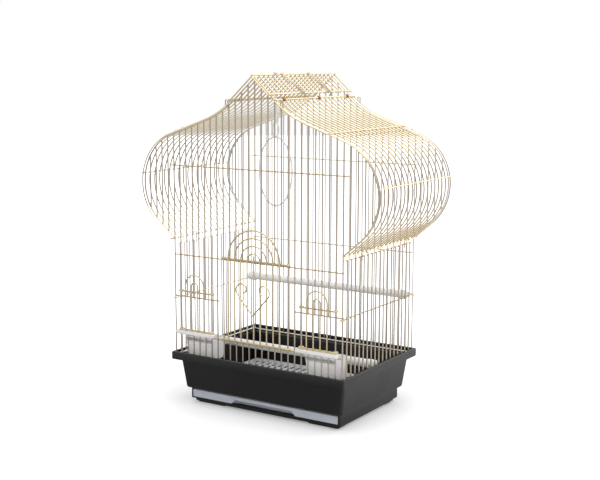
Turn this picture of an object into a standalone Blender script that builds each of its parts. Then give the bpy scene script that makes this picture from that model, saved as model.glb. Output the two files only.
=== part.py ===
"""Small bird cage: wire panels and an onion-shaped roof on a plastic tub with a drawer.

Metres, +Z up. X runs along the long front, -Y is the front, and the ground is at Z = 0.
The origin is the middle of the footprint on the ground.
"""

import math

import bmesh
import bpy
from mathutils import Vector

# Clearance between pieces that touch, or nearly touch
GAP = 0.0003

# Wires, measured across the corners of their section
BAR = 0.0022
FRAME = 0.0026
LOOP_WIRE = 0.0020
WELD_SINK = 0.0005
BAR_END = 0.0008
LOOP_SLACK = 0.0006
LOOP_TURN = math.radians(250)

# The wire body: gaps between upright bars along the front and along each side
FRONT_GAPS = 26
FRONT_PITCH = 0.01104
SIDE_GAPS = 18
SIDE_PITCH = 0.0115

# Heights of the cross wires
BOTTOM_Z = 0.0743
SILL_Z = 0.1085
MIDDLE_Z = 0.1655
LINTEL_Z = 0.2275
ROOF_WIRE_Z = 0.3590
ROOF_WIRE_REACH = 0.0065
SIDE_TOP_Z = 0.2436

# Onion roof, as the border of the front panel: foot, bulge, neck and ridge
FOOT_Z = 0.2510
BULGE_RADIUS = 0.0758
BULGE_REACH = 0.1984
BULGE_START = math.radians(-50)
BULGE_END = math.radians(70.5)
NECK_RADIUS = 0.140
RIDGE_Z = 0.4875
RIDGE_SLOPE = math.radians(42)
BULGE_STEPS = 8
CAP_OVERHANG = 0.0076
SHEET_OVERHANG = 0.0048
SHEET_FOOT = 0.0025
SHEET_BULGE_Z = 0.345
SHEET_NECK_X = 0.123
LEFT_SHEET_TOP_X = 0.0405
RIGHT_SHEET_TOP_X = 0.0368
CAP_LEFT_X = 0.0366
CAP_RIGHT_X = 0.0270

# Base tub, from the ground up; halves are measured from the middle
PAD_HEIGHT = 0.0025
PAD_SIZE = (0.052, 0.022)
PAD_INSET = 0.0022
PLINTH_TOP = 0.0070
PLINTH_INSET = 0.0045
HOUSING_HALF = (0.1305, 0.0862)
HOUSING_TOP = 0.0238
TUB_FLOOR_HALF = (0.1357, 0.0917)
TUB_TOP_HALF = (0.1420, 0.0961)
TUB_WALL = 0.0025
TUB_CORNER = 0.0045
LIP_BOTTOM = 0.0690
LIP_TOP = 0.0808
LIP_WALL = 0.0040
LIP_CORNER = 0.0024
BAY_CORNER = 0.0030

# Drawer bay, drawer, and the grille above them
BAY_FLOOR = 0.0087
BAY_HEIGHT = 0.0130
BAY_SIDE_WALL = 0.0034
BAY_REAR_WALL = 0.0052
LEDGE_THICK = 0.0048
LEDGE_REACH = 0.0120
GRILLE_THICK = 0.0045
GRILLE_CLEARANCE = 0.0045
GRILLE_COLUMNS = 20
GRILLE_ROWS = 3
GRILLE_RIB = 0.0065
GRILLE_ROW_RIB = 0.0050
GRILLE_BORDER = 0.0080
DRAWER_WALL = 0.0020
DRAWER_CLEARANCE = 0.0004
DRAWER_STOP = 0.0015
DRAWER_WALL_HEIGHT = 0.0095
DRAWER_FRONT_HEIGHT = 0.0117
DRAWER_FRONT_THICK = 0.0030
SCOOP_HALF = 0.0570
SCOOP_END = 0.0060
SCOOP_HEIGHT = 0.0062
SCOOP_DEPTH = 0.0080

# Doors slide on posts, which are counted from the left corner bar
DOOR_POSTS = (8, 18)
DOOR_TOP = 0.0030
DOOR_STUB = 0.0080
DOOR_FRAME = 0.0028
FEEDER_POSTS = (1, 6)
FEEDER_DOOR_TOP = 0.0090
FEEDER_ARCH_RISE = 0.0090

# Heart scroll in front of the main door
HEART_POINT_Z = 0.1530
HEART_LOBE_X = 0.0190
HEART_LOBE_RISE = 0.0350
HEART_LOBE = 0.0095
HEART_CURL = 0.0050
HEART_CURL_FROM = math.radians(140)
HEART_CURL_TO = math.radians(225)

# Feeder cups
CUP_SIDE_CLEARANCE = 0.0010
CUP_TOP = 0.1040
CUP_DEPTH = 0.0380
CUP_WALL = 0.0018
CUP_TAB_WALL = 0.0016
CUP_SIDE_TAPER = 0.0012
CUP_FRONT_TAPER = 0.0065
CUP_REAR_TAPER = 0.0070
CUP_CORNER = 0.0040
CUP_LIP_REACH = 0.0065
CUP_LIP_HEIGHT = 0.0057
CUP_LIP_SIDE = 0.0091

# Perches lie between side bars, at a place counted in pitches from the front corner
PERCH_SIDES = 20
PERCH_CAP_LENGTH = 0.0130
PERCH_CHAMFER = 0.0012
UPPER_PERCH_PLACE = 16.5
UPPER_PERCH_LIFT = 0.0030
UPPER_PERCH_RADIUS = 0.0056
UPPER_PERCH_CAP_RADIUS = 0.0070
LOWER_PERCH_PLACE = 8.5
LOWER_PERCH_RADIUS = 0.0060
LOWER_PERCH_CAP_RADIUS = 0.0067

# Swing: an oval ring on a stem that hooks over the ridge wire
SWING_PLACE = 4.5
SWING_WIRE = 0.0030
SWING_RING_HALF = (0.0281, 0.0492)
SWING_NECK_HALF = (0.0050, 0.0105)
SWING_BOTTOM_Z = 0.3043

# Loops and hooks of wire
PANEL_LOOP_BAR = 9
PANEL_LOOP_RADIUS = 0.0020
PANEL_LOOP_RISE = 0.0058
PANEL_LOOP_LEG = 0.0025
PANEL_LOOP_TAIL = 0.0100
SIDE_HOOK_PLACES = (4.5, 15.5)
SIDE_HOOK_TAIL = 0.0060
SIDE_HOOK_TURN = math.radians(205)
RIDGE_HOOK_PLACES = (5.75, 11.9)
RIDGE_HOOK_SKEW = 0.0110
RIDGE_HOOK_SPREAD = 0.0014
RIDGE_HOOK_RISE = 0.0025
RIDGE_HOOK_TIP = 0.0045
CLIP_PLACES = (1.5, 9.5, 16.5)
CLIP_WALL = 0.0012
CLIP_WIDTH = 0.0030
CLIP_SLACK = 0.0005

# Colours: red, green, blue, then roughness and metallic
FINISHES = {
    "brass_wire": ((0.62, 0.50, 0.27), 0.32, 1.0),
    "dark_wire": ((0.30, 0.19, 0.10), 0.45, 1.0),
    "black_plastic": ((0.022, 0.022, 0.024), 0.42, 0.0),
    "grey_plastic": ((0.46, 0.48, 0.52), 0.45, 0.0),
    "pale_plastic": ((0.58, 0.62, 0.66), 0.45, 0.0),
    "cup_plastic": ((0.66, 0.67, 0.72), 0.40, 0.0),
    "white_plastic": ((0.84, 0.83, 0.80), 0.40, 0.0),
}

# Sizes worked out from the ones above
BODY_X = FRONT_GAPS * FRONT_PITCH / 2
BODY_Y = SIDE_GAPS * SIDE_PITCH / 2
BULGE_BARS = int((BULGE_REACH - BAR - BODY_X) / FRONT_PITCH)
LAYER = BAR - WELD_SINK
NEXT_TO_BAR = BAR + GAP
LOOP_RADIUS = BAR + LOOP_SLACK
SHEET_OFFSET = (FRAME + BAR) / 2 + GAP
RIDGE_WIRE_Z = RIDGE_Z + FRAME / 2 / math.cos(RIDGE_SLOPE) + GAP + BAR / 2
SIDE_BOTTOM_Z = BOTTOM_Z + (FRAME + BAR) / 2 + GAP
SIDE_MIDDLE_Z = MIDDLE_Z - NEXT_TO_BAR
DOOR_RAIL_Z = SILL_Z + NEXT_TO_BAR
DOOR_Y = -BODY_Y - LOOP_RADIUS - LAYER
SEAT_Z = BOTTOM_Z - FRAME / 2 - GAP
BAY_TOP = BAY_FLOOR + BAY_HEIGHT
BAY_HALF = HOUSING_HALF[0] - BAY_SIDE_WALL
BAY_REAR = HOUSING_HALF[1] - BAY_REAR_WALL
LEDGE_Z = BAY_TOP + LEDGE_THICK
CUP_BOTTOM_Z = SEAT_Z + GAP
CUP_LIP_Z = SILL_Z + BAR / 2 + GAP
FEEDER_RAIL_Z = CUP_LIP_Z + CUP_LIP_HEIGHT + GAP + BAR / 2
FEEDER_SPAN = (FEEDER_POSTS[1] - FEEDER_POSTS[0]) * FRONT_PITCH
FEEDER_X = BODY_X - (FEEDER_POSTS[0] + FEEDER_POSTS[1]) / 2 * FRONT_PITCH
SHARP = math.radians(35)


def clear_scene():
    """Remove whatever the file opened with."""
    for obj in list(bpy.data.objects):
        bpy.data.objects.remove(obj, do_unlink=True)


def finish(name, kind):
    """A material of its own for one sub-part."""
    colour, roughness, metallic = FINISHES[kind]
    material = bpy.data.materials.new(name + "_finish")
    material.use_nodes = True
    shader = material.node_tree.nodes["Principled BSDF"]
    shader.inputs["Base Color"].default_value = (*colour, 1.0)
    shader.inputs["Roughness"].default_value = roughness
    shader.inputs["Metallic"].default_value = metallic
    material.diffuse_color = (*colour, 1.0)
    return material


def add_object(name, shape, kind=None, origin=(0, 0, 0)):
    """Put a bmesh in the scene as a named object; without a kind it is a guide."""
    bmesh.ops.recalc_face_normals(shape, faces=shape.faces)
    bmesh.ops.translate(shape, verts=shape.verts, vec=-Vector(origin))
    mesh = bpy.data.meshes.new(name)
    shape.to_mesh(mesh)
    shape.free()
    obj = bpy.data.objects.new(name, mesh)
    obj.location = origin
    bpy.context.scene.collection.objects.link(obj)
    if kind:
        mesh.materials.append(finish(name, kind))
        mesh.shade_smooth()
        mesh.set_sharp_from_angle(angle=SHARP)
    else:
        obj.hide_render = True
        obj.display_type = "WIRE"
    return obj


def combine(obj, operation, *guides):
    """Boolean an object with guide shapes, one after another."""
    for number, shape in enumerate(guides):
        name = f"{obj.name}_{operation.lower()}_{number}"
        modifier = obj.modifiers.new(name, "BOOLEAN")
        modifier.operation = operation
        modifier.solver = "EXACT"
        modifier.object = add_object(name, shape)


def join_rings(mesh, rings, closed=False):
    """Skin a stack of rings; unless it closes on itself, cap both ends."""
    for index in range(len(rings) if closed else len(rings) - 1):
        first = rings[index]
        second = rings[(index + 1) % len(rings)]
        for corner in range(len(first)):
            nxt = (corner + 1) % len(first)
            mesh.faces.new((first[corner], first[nxt], second[nxt], second[corner]))
    if not closed:
        mesh.faces.new(rings[0])
        mesh.faces.new(rings[-1])


def sweep(mesh, path, width, normal, sides=4, closed=False):
    """Sweep a section along a path with mitred bends; its first corner points along normal."""
    points = [Vector(point) for point in path]
    count = len(points)
    spans = count if closed else count - 1
    runs = [(points[(i + 1) % count] - points[i]).normalized() for i in range(spans)]
    up = (Vector(normal) - runs[0] * Vector(normal).dot(runs[0])).normalized()
    rings = []
    for index, point in enumerate(points):
        before = runs[index - 1] if index or closed else runs[0]
        after = runs[index] if index < spans else runs[-1]
        if closed and not index:
            up = before.rotation_difference(after).inverted() @ up
        mitre = (before + after).normalized()
        side = before.cross(up)
        ring = []
        for corner in range(sides):
            turn = 2 * math.pi * corner / sides
            offset = width / 2 * (math.cos(turn) * up + math.sin(turn) * side)
            offset -= before * (offset.dot(mitre) / before.dot(mitre))
            ring.append(mesh.verts.new(point + offset))
        rings.append(ring)
        up = before.rotation_difference(after) @ up
    join_rings(mesh, rings, closed)


def wires(*runs):
    """One mesh of separate wires, each given as its path, width and normal."""
    mesh = bmesh.new()
    for path, width, normal in runs:
        sweep(mesh, path, width, normal)
    return mesh


def loft(*outlines):
    """A solid through outlines with the same number of points."""
    mesh = bmesh.new()
    join_rings(mesh, [[mesh.verts.new(point) for point in outline] for outline in outlines])
    return mesh


def box(low, high):
    """A box between two corners."""
    corners = ((low[1], low[2]), (high[1], low[2]), (high[1], high[2]), (low[1], high[2]))
    return loft([(low[0], y, z) for y, z in corners], [(high[0], y, z) for y, z in corners])


def arc(centre, radius, start, end, steps):
    """Points on an arc in a plane, as pairs."""
    turns = [start + (end - start) * step / steps for step in range(steps + 1)]
    return [(centre[0] + radius * math.cos(t), centre[1] + radius * math.sin(t)) for t in turns]


def rounded(half, corner, z, centre=(0, 0), steps=3):
    """A rounded rectangle at one height."""
    quarter = math.pi / 2
    ring = []
    for turn, (x, y) in enumerate(((1, 1), (-1, 1), (-1, -1), (1, -1))):
        middle = (centre[0] + x * (half[0] - corner), centre[1] + y * (half[1] - corner))
        points = arc(middle, corner, turn * quarter, (turn + 1) * quarter, steps)
        ring += [(px, py, z) for px, py in points]
    return ring


def shifted(half, by):
    return (half[0] + by, half[1] + by)


def crossing(points, axis, value):
    """The last place where a line of points passes a value on one axis."""
    found = None
    for first, second in zip(points, points[1:]):
        if (first[axis] - value) * (second[axis] - value) <= 0 and first[axis] != second[axis]:
            share = (value - first[axis]) / (second[axis] - first[axis])
            found = first.lerp(second, share)
    return found


def roof_profile(offset=0.0, foot=0.0, top_x=0.0):
    """Right half of the onion, from its foot to the ridge, or to top_x short of it."""
    centre = Vector((BULGE_REACH - BULGE_RADIUS, 0.0))
    foot_run = Vector((-math.sin(BULGE_START), math.cos(BULGE_START)))
    foot_normal = Vector((math.cos(BULGE_START), math.sin(BULGE_START)))
    start_x = centre.x + BULGE_RADIUS * foot_normal.x
    start_z = FOOT_Z + (start_x - BODY_X) * foot_run.y / foot_run.x
    centre.y = start_z - BULGE_RADIUS * foot_normal.y
    slope = math.pi / 2 - BULGE_END
    leave = centre + BULGE_RADIUS * Vector((math.cos(BULGE_END), math.sin(BULGE_END)))
    steep = math.tan(RIDGE_SLOPE)
    gentle = math.tan(slope)
    meet_x = (RIDGE_Z - leave.y - gentle * leave.x) / (steep - gentle)
    meet = Vector((meet_x, RIDGE_Z - steep * meet_x))
    reach = NECK_RADIUS * math.tan((RIDGE_SLOPE - slope) / 2)
    neck = meet + reach * Vector((math.cos(slope), -math.sin(slope)))
    neck += NECK_RADIUS * Vector((math.sin(slope), math.cos(slope)))
    down = -math.pi / 2
    bulge = arc(centre, BULGE_RADIUS + offset, BULGE_START, BULGE_END, BULGE_STEPS)
    bend = arc(neck, NECK_RADIUS - offset, down - slope, down - RIDGE_SLOPE, 2)
    points = [Vector((BODY_X, FOOT_Z)) + foot * foot_run + offset * foot_normal]
    points += [Vector(p) for p in bulge + bend]
    points.append(Vector((0.0, RIDGE_Z + offset / math.cos(RIDGE_SLOPE))))
    if top_x:
        kept = [p for p in points if p.x > top_x]
        points = kept + [crossing(points, 0, top_x)]
    return points


def border_height(x, upper=True):
    """Height of a panel's border over a place along the front, above or below the bulge."""
    points = roof_profile()
    if not upper:
        points.reverse()
    return crossing(points, 0, abs(x)).y


def slope_point(x, y, offset):
    """A point beside the ridge on the right-hand slope, raised off it by offset."""
    return (x + offset * math.sin(RIDGE_SLOPE), y,
            RIDGE_Z - x * math.tan(RIDGE_SLOPE) + offset * math.cos(RIDGE_SLOPE))


def bar_x(index):
    """Place of an upright bar along the front, counted from the left corner."""
    return -BODY_X + index * FRONT_PITCH


def bar_y(index):
    """Place of a side bar or roof wire, counted from the front corner."""
    return -BODY_Y + index * SIDE_PITCH


def panel_bars(y, openings):
    """Upright bars of the front or rear panel, broken where an opening is."""
    runs = []
    for index in range(FRONT_GAPS + 1):
        x = bar_x(index)
        low = BOTTOM_Z
        for first, last, bottom, top in openings:
            if first < index < last:
                runs.append(([(x, y, low), (x, y, bottom + BAR_END)], BAR, (0, 1, 0)))
                low = top - BAR_END
        runs.append(([(x, y, low), (x, y, border_height(x))], BAR, (0, 1, 0)))
    for extra in range(1, BULGE_BARS + 1):
        for x in (BODY_X + extra * FRONT_PITCH, -BODY_X - extra * FRONT_PITCH):
            ends = [(x, y, border_height(x, upper=False)), (x, y, border_height(x))]
            runs.append((ends, BAR, (0, 1, 0)))
    return runs


def panel_frame(y):
    """The thicker border and bottom wire that carry the bars of a panel."""
    right = [(p.x, y, p.y) for p in roof_profile()]
    left = [(-x, y, z) for x, y, z in reversed(right[:-1])]
    half = BODY_X + BAR / 2
    bottom = [(-half, y, BOTTOM_Z), (half, y, BOTTOM_Z)]
    return [(right + left, FRAME, (0, 1, 0)), (bottom, FRAME, (0, 1, 0))]


def panel_loops(y):
    """Wires welded to two bars that pass between border and roof, and turn down in front."""
    out = y + math.copysign(SHEET_OVERHANG - (BAR + LOOP_WIRE) / 2 - GAP, y)
    x = bar_x(PANEL_LOOP_BAR)
    low = border_height(x)
    foot = low - PANEL_LOOP_LEG
    middle = low + PANEL_LOOP_RISE
    turns = arc((x - PANEL_LOOP_RADIUS, middle), PANEL_LOOP_RADIUS, 0, math.pi, 6)
    left = [(x, y, low - PANEL_LOOP_TAIL), (x, out, foot)]
    left += [(px, out, pz) for px, pz in turns] + [(x - 2 * PANEL_LOOP_RADIUS, out, foot)]
    right = [(-px, py, pz) for px, py, pz in left]
    return [(left, LOOP_WIRE, (1, 0, 0)), (right, LOOP_WIRE, (1, 0, 0))]


def build_panel(name, y, openings, spans):
    """Front or rear panel: bars, frame, inner cross wires given as height and ends, and loops."""
    obj = add_object(name, wires(*panel_bars(y, openings)), "brass_wire")
    inner = y - math.copysign(LAYER, y)
    cross = [([(a, inner, z), (b, inner, z)], BAR, (0, 1, 0)) for z, a, b in spans]
    combine(obj, "UNION", wires(*panel_frame(y)), wires(*cross), wires(*panel_loops(y)))


def build_front_panel():
    """Front panel with the openings for the main door and for both feeders."""
    mirrored = (FRONT_GAPS - FEEDER_POSTS[1], FRONT_GAPS - FEEDER_POSTS[0])
    openings = [
        (*FEEDER_POSTS, SILL_Z, MIDDLE_Z),
        (*mirrored, SILL_Z, MIDDLE_Z),
        (*DOOR_POSTS, SILL_Z, LINTEL_Z),
    ]
    half = BODY_X + BAR / 2
    beside = bar_x(FEEDER_POSTS[1] + 1) + BAR_END
    roof_half = BODY_X + ROOF_WIRE_REACH
    spans = [
        (SILL_Z, -half, half),
        (MIDDLE_Z, -half, beside),
        (MIDDLE_Z, -beside, half),
        (LINTEL_Z, -half, half),
        (ROOF_WIRE_Z, -roof_half, roof_half),
    ]
    build_panel("front_panel", -BODY_Y, openings, spans)


def build_rear_panel():
    """Rear panel: the front panel's outline without openings."""
    half = BODY_X + BAR / 2
    roof_half = BODY_X + ROOF_WIRE_REACH
    spans = [
        (MIDDLE_Z, -half, half),
        (LINTEL_Z, -half, half),
        (ROOF_WIRE_Z, -roof_half, roof_half),
    ]
    build_panel("rear_panel", BODY_Y, [], spans)


def build_side_panel(name, side):
    """Side panel: bars outside, three cross wires inside, curled ends and two roof hooks."""
    x = side * BODY_X
    inner = side * (BODY_X - LAYER)
    bars = []
    for index in range(1, SIDE_GAPS):
        y = bar_y(index)
        ends = [(x, y, BOTTOM_Z - FRAME / 2), (x, y, SIDE_TOP_Z + BAR_END)]
        bars.append((ends, BAR, (1, 0, 0)))
    end = BODY_Y - NEXT_TO_BAR
    cross = [([(inner, -end, z), (inner, end, z)], BAR, (1, 0, 0))
             for z in (SIDE_BOTTOM_Z, SIDE_TOP_Z)]
    curl = arc((0, 0), LOOP_RADIUS, math.pi, math.pi + LOOP_TURN, 6)
    front = [(x + side * px, -BODY_Y + py, SIDE_MIDDLE_Z) for px, py in curl]
    rear = [(px, -py, pz) for px, py, pz in front]
    middle = [(inner, -BODY_Y + SIDE_PITCH / 2, SIDE_MIDDLE_Z)]
    middle.append((inner, BODY_Y - SIDE_PITCH / 2, SIDE_MIDDLE_Z))
    cross.append((front[::-1] + middle + rear, BAR, (0, 0, 1)))
    hooks = []
    foot = roof_profile(SHEET_OFFSET, SHEET_FOOT)[0]
    turns = arc(foot, foot.x - BODY_X, math.pi, math.pi - SIDE_HOOK_TURN, 6)
    for place in SIDE_HOOK_PLACES:
        y = bar_y(place)
        path = [(x, y, SIDE_TOP_Z - SIDE_HOOK_TAIL)] + [(side * px, y, pz) for px, pz in turns]
        hooks.append((path, LOOP_WIRE, (1, 0, 0)))
    obj = add_object(name, wires(*bars), "brass_wire")
    combine(obj, "UNION", wires(*cross), wires(*hooks))


def roof_places(overhang):
    """Places of the roof wires from front to back, with one past each panel."""
    end = BODY_Y + overhang
    return [-end] + [bar_y(index) for index in range(1, SIDE_GAPS)] + [end]


def lengthwise(x, z, normal, overhang):
    """A cross wire of the roof, which runs from the front overhang to the rear one."""
    end = BODY_Y + overhang + BAR_END
    return ([(x, -end, z), (x, end, z)], BAR, normal)


def build_roof_sheet(name, side, top_x):
    """Roof sheet: bent wires inside, four cross wires outside that rest on both panels."""
    last = top_x - BAR_END
    inner = roof_profile(SHEET_OFFSET - LAYER, SHEET_FOOT - BAR_END, last)
    places = roof_places(SHEET_OVERHANG)
    bent = [([(side * p.x, y, p.y) for p in inner], BAR, (0, 1, 0)) for y in places]
    outer = roof_profile(SHEET_OFFSET, SHEET_FOOT)
    bulge = crossing(outer, 1, SHEET_BULGE_Z)
    neck = crossing(outer, 0, SHEET_NECK_X)
    top = crossing(outer, 0, top_x)
    foot_normal = (side * math.cos(BULGE_START), 0, math.sin(BULGE_START))
    neck_normal = (side * math.cos(BULGE_END), 0, math.sin(BULGE_END))
    slope_normal = (side * math.sin(RIDGE_SLOPE), 0, math.cos(RIDGE_SLOPE))
    cross = [
        lengthwise(side * outer[0].x, outer[0].y, foot_normal, SHEET_OVERHANG),
        lengthwise(side * bulge.x, bulge.y, (1, 0, 0), SHEET_OVERHANG),
        lengthwise(side * neck.x, neck.y, neck_normal, SHEET_OVERHANG),
        lengthwise(side * top.x, top.y, slope_normal, SHEET_OVERHANG),
    ]
    obj = add_object(name, wires(*bent), "brass_wire")
    combine(obj, "UNION", wires(*cross))


def build_roof_cap():
    """Cap over the ridge: folded wires inside, with an edge wire on each side and one on top."""
    raised = SHEET_OFFSET - LAYER
    bent = []
    for y in roof_places(CAP_OVERHANG):
        left = slope_point(CAP_LEFT_X + BAR_END, y, raised)
        right = slope_point(CAP_RIGHT_X + BAR_END, y, raised)
        top = (0, y, RIDGE_Z + raised / math.cos(RIDGE_SLOPE))
        bent.append(([(-left[0], y, left[2]), top, right], BAR, (0, 1, 0)))
    lean = (math.sin(RIDGE_SLOPE), math.cos(RIDGE_SLOPE))
    left = slope_point(CAP_LEFT_X, 0, SHEET_OFFSET)
    right = slope_point(CAP_RIGHT_X, 0, SHEET_OFFSET)
    cross = [
        lengthwise(-left[0], left[2], (-lean[0], 0, lean[1]), CAP_OVERHANG),
        lengthwise(0, RIDGE_WIRE_Z, (0, 0, 1), CAP_OVERHANG),
        lengthwise(right[0], right[2], (lean[0], 0, lean[1]), CAP_OVERHANG),
    ]
    obj = add_object("roof_cap", wires(*bent), "brass_wire")
    combine(obj, "UNION", wires(*cross))


def build_ridge_hooks():
    """Two doubled wires that lie down the cap's right slope and turn in under its edge."""
    offset = SHEET_OFFSET + NEXT_TO_BAR
    below = CAP_RIGHT_X + RIDGE_HOOK_TIP
    for number, place in enumerate(RIDGE_HOOK_PLACES, 1):
        top = bar_y(place)
        low = top + RIDGE_HOOK_SKEW
        near = RIDGE_HOOK_SPREAD
        path = [
            slope_point(below, low - near, 0),
            slope_point(below, low - near, offset),
            slope_point(-RIDGE_HOOK_RISE, top - near, offset),
            slope_point(-RIDGE_HOOK_RISE, top + near, offset),
            slope_point(below, low + near, offset),
            slope_point(below, low + near, 0),
        ]
        shape = wires((path, LOOP_WIRE, (0, 1, 0)))
        add_object(f"ridge_hook_{number}", shape, "brass_wire")


def build_clip(name, kind, ends, y):
    """A band bent round two places on a slope of the roof."""
    inner = BAR / 2 + CLIP_SLACK
    lean = math.atan2(ends[0][1] - ends[1][1], ends[0][0] - ends[1][0])
    mesh = bmesh.new()
    outlines = []
    for reach in (inner, inner + CLIP_WALL):
        outline = []
        for (x, z), start in zip(ends, (lean - math.pi / 2, lean + math.pi / 2)):
            outline += arc((x, z), reach, start, start + math.pi, 4)
        outlines.append(outline)
    rings = []
    for depth, outline in zip((-1, -1, 1, 1), outlines + outlines[::-1]):
        rings.append([mesh.verts.new((x, y + depth * CLIP_WIDTH / 2, z)) for x, z in outline])
    join_rings(mesh, rings, closed=True)
    add_object(name, mesh, kind)


def build_clips():
    """Clips on the right sheet's top wire, and clips that tie the cap to the left sheet."""
    outer = roof_profile(SHEET_OFFSET, SHEET_FOOT)
    left = crossing(outer, 0, LEFT_SHEET_TOP_X)
    right = crossing(outer, 0, RIGHT_SHEET_TOP_X)
    cap = slope_point(CAP_LEFT_X, 0, SHEET_OFFSET)
    run = Vector((math.cos(RIDGE_SLOPE), -math.sin(RIDGE_SLOPE))) * CLIP_SLACK
    for number, place in enumerate(CLIP_PLACES, 1):
        y = bar_y(place)
        build_clip(f"sheet_clip_{number}", "dark_wire", (right + run, right - run), y)
        build_clip(f"cap_clip_{number}", "brass_wire", ((-cap[0], cap[2]), (-left.x, left.y)), y)


def door_rail(centre, half, z):
    """A door's cross wire, with an eye round the post at each end."""
    eye = arc((half, 0), LOOP_RADIUS, -math.pi / 2, LOOP_TURN - math.pi / 2, 6)
    right = [(centre + px, -BODY_Y + py, z) for px, py in eye]
    left = [(centre - px, -BODY_Y + py, z) for px, py in eye]
    return (left[::-1] + right, BAR, (0, 0, 1))


def door_arch(centre, radius, low, springing, width):
    """Two door bars joined by a half circle on top."""
    turns = arc((centre, springing), radius, math.pi, 0, 8)
    path = [(centre - radius, DOOR_Y, low)] + [(px, DOOR_Y, pz) for px, pz in turns]
    path.append((centre + radius, DOOR_Y, low))
    return (path, width, (0, 1, 0))


def build_main_door():
    """Main door: arched bars in front, two rails behind that slide on the posts."""
    centre = (bar_x(DOOR_POSTS[0]) + bar_x(DOOR_POSTS[1])) / 2
    half = (DOOR_POSTS[1] - DOOR_POSTS[0]) * FRONT_PITCH / 2
    top = LINTEL_Z + DOOR_TOP
    low = DOOR_RAIL_Z - BAR_END
    arches = (DOOR_POSTS[1] - DOOR_POSTS[0]) // 2 - 1
    bars = [([(centre, DOOR_Y, low), (centre, DOOR_Y, top + DOOR_STUB)], BAR, (0, 1, 0))]
    for number in range(1, arches + 1):
        width = DOOR_FRAME if number == arches else BAR
        bars.append(door_arch(centre, number * FRONT_PITCH, low, top, width))
    obj = add_object("main_door", wires(*bars), "brass_wire")
    rails = (door_rail(centre, half, DOOR_RAIL_Z), door_rail(centre, half, top))
    combine(obj, "UNION", wires(*rails))


def build_heart():
    """Heart of bent wire on the front of the main door, both ends curled in."""
    y = DOOR_Y - NEXT_TO_BAR
    centre = Vector((HEART_LOBE_X, HEART_LOBE_RISE))
    lean = math.atan2(centre.y, centre.x) - math.asin(HEART_LOBE / centre.length)
    half = arc(centre, HEART_LOBE, lean - math.pi / 2, HEART_CURL_FROM, 8)
    steps = 4
    for step in range(1, steps + 1):
        share = step / steps
        turn = HEART_CURL_FROM + share * (HEART_CURL_TO - HEART_CURL_FROM)
        reach = HEART_LOBE + share * (HEART_CURL - HEART_LOBE)
        half.append((centre.x + reach * math.cos(turn), centre.y + reach * math.sin(turn)))
    right = [(px, y, HEART_POINT_Z + pz) for px, pz in half]
    left = [(-px, py, pz) for px, py, pz in reversed(right)]
    path = left + [(0, y, HEART_POINT_Z)] + right
    add_object("door_heart", wires((path, BAR, (0, 1, 0))), "brass_wire")


def build_feeder_door(name, side):
    """Small door over a feeder cup: four bars under two arches, with a rail at each end."""
    centre = side * FEEDER_X
    top = MIDDLE_Z + FEEDER_DOOR_TOP
    low = FEEDER_RAIL_Z - BAR_END
    springing = top + FEEDER_ARCH_RISE
    bars = [door_arch(centre, share * FRONT_PITCH, low, springing, BAR) for share in (0.5, 1.5)]
    obj = add_object(name, wires(*bars), "brass_wire")
    half = FEEDER_SPAN / 2
    rails = (door_rail(centre, half, FEEDER_RAIL_Z), door_rail(centre, half, top))
    combine(obj, "UNION", wires(*rails))


def build_feeder_cup(name, side):
    """Feeder cup: a tapered box behind the bars that hangs on the sill wire by a lip."""
    centre = side * FEEDER_X
    half = FEEDER_SPAN / 2 - BAR / 2 - CUP_SIDE_CLEARANCE
    front = -BODY_Y + LAYER + BAR / 2 + GAP
    rear = front + CUP_DEPTH
    floor = CUP_BOTTOM_Z + CUP_WALL

    def outline(z, inset=0.0):
        share = (CUP_TOP - z) / (CUP_TOP - CUP_BOTTOM_Z)
        low = front + share * CUP_FRONT_TAPER + inset
        high = rear - share * CUP_REAR_TAPER - inset
        wide = half - share * CUP_SIDE_TAPER - inset
        middle = (centre, (low + high) / 2)
        return rounded((wide, (high - low) / 2), CUP_CORNER - inset, z, middle, 2)

    body = add_object(name, loft(outline(CUP_BOTTOM_Z), outline(CUP_TOP)), "cup_plastic")
    top = CUP_LIP_Z + CUP_LIP_HEIGHT
    tip = -BODY_Y - CUP_LIP_REACH
    back = front + CUP_TAB_WALL
    root = CUP_TOP - CUP_LIP_HEIGHT
    hook = [(tip, CUP_LIP_Z), (tip, top), (back, top), (back, root), (front, root),
            (front, CUP_LIP_Z)]
    tab_half = half - CUP_CORNER / 2
    tab = loft([(centre - tab_half, y, z) for y, z in hook],
               [(centre + tab_half, y, z) for y, z in hook])
    ear = half + CUP_LIP_SIDE
    ears = box((centre - ear, tip + GAP, CUP_LIP_Z + GAP), (centre + ear, -BODY_Y - BAR, top - GAP))
    above = [(x, y, z + CUP_LIP_HEIGHT) for x, y, z in outline(CUP_TOP, CUP_WALL)]
    hollow = loft(outline(floor, CUP_WALL), outline(CUP_TOP, CUP_WALL), above)
    combine(body, "UNION", tab, ears)
    combine(body, "DIFFERENCE", hollow)


def perch_ring(mesh, x, y, z, radius):
    points = arc((y, z), radius, 0, 2 * math.pi, PERCH_SIDES)[:-1]
    return [mesh.verts.new((x, py, pz)) for py, pz in points]


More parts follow.
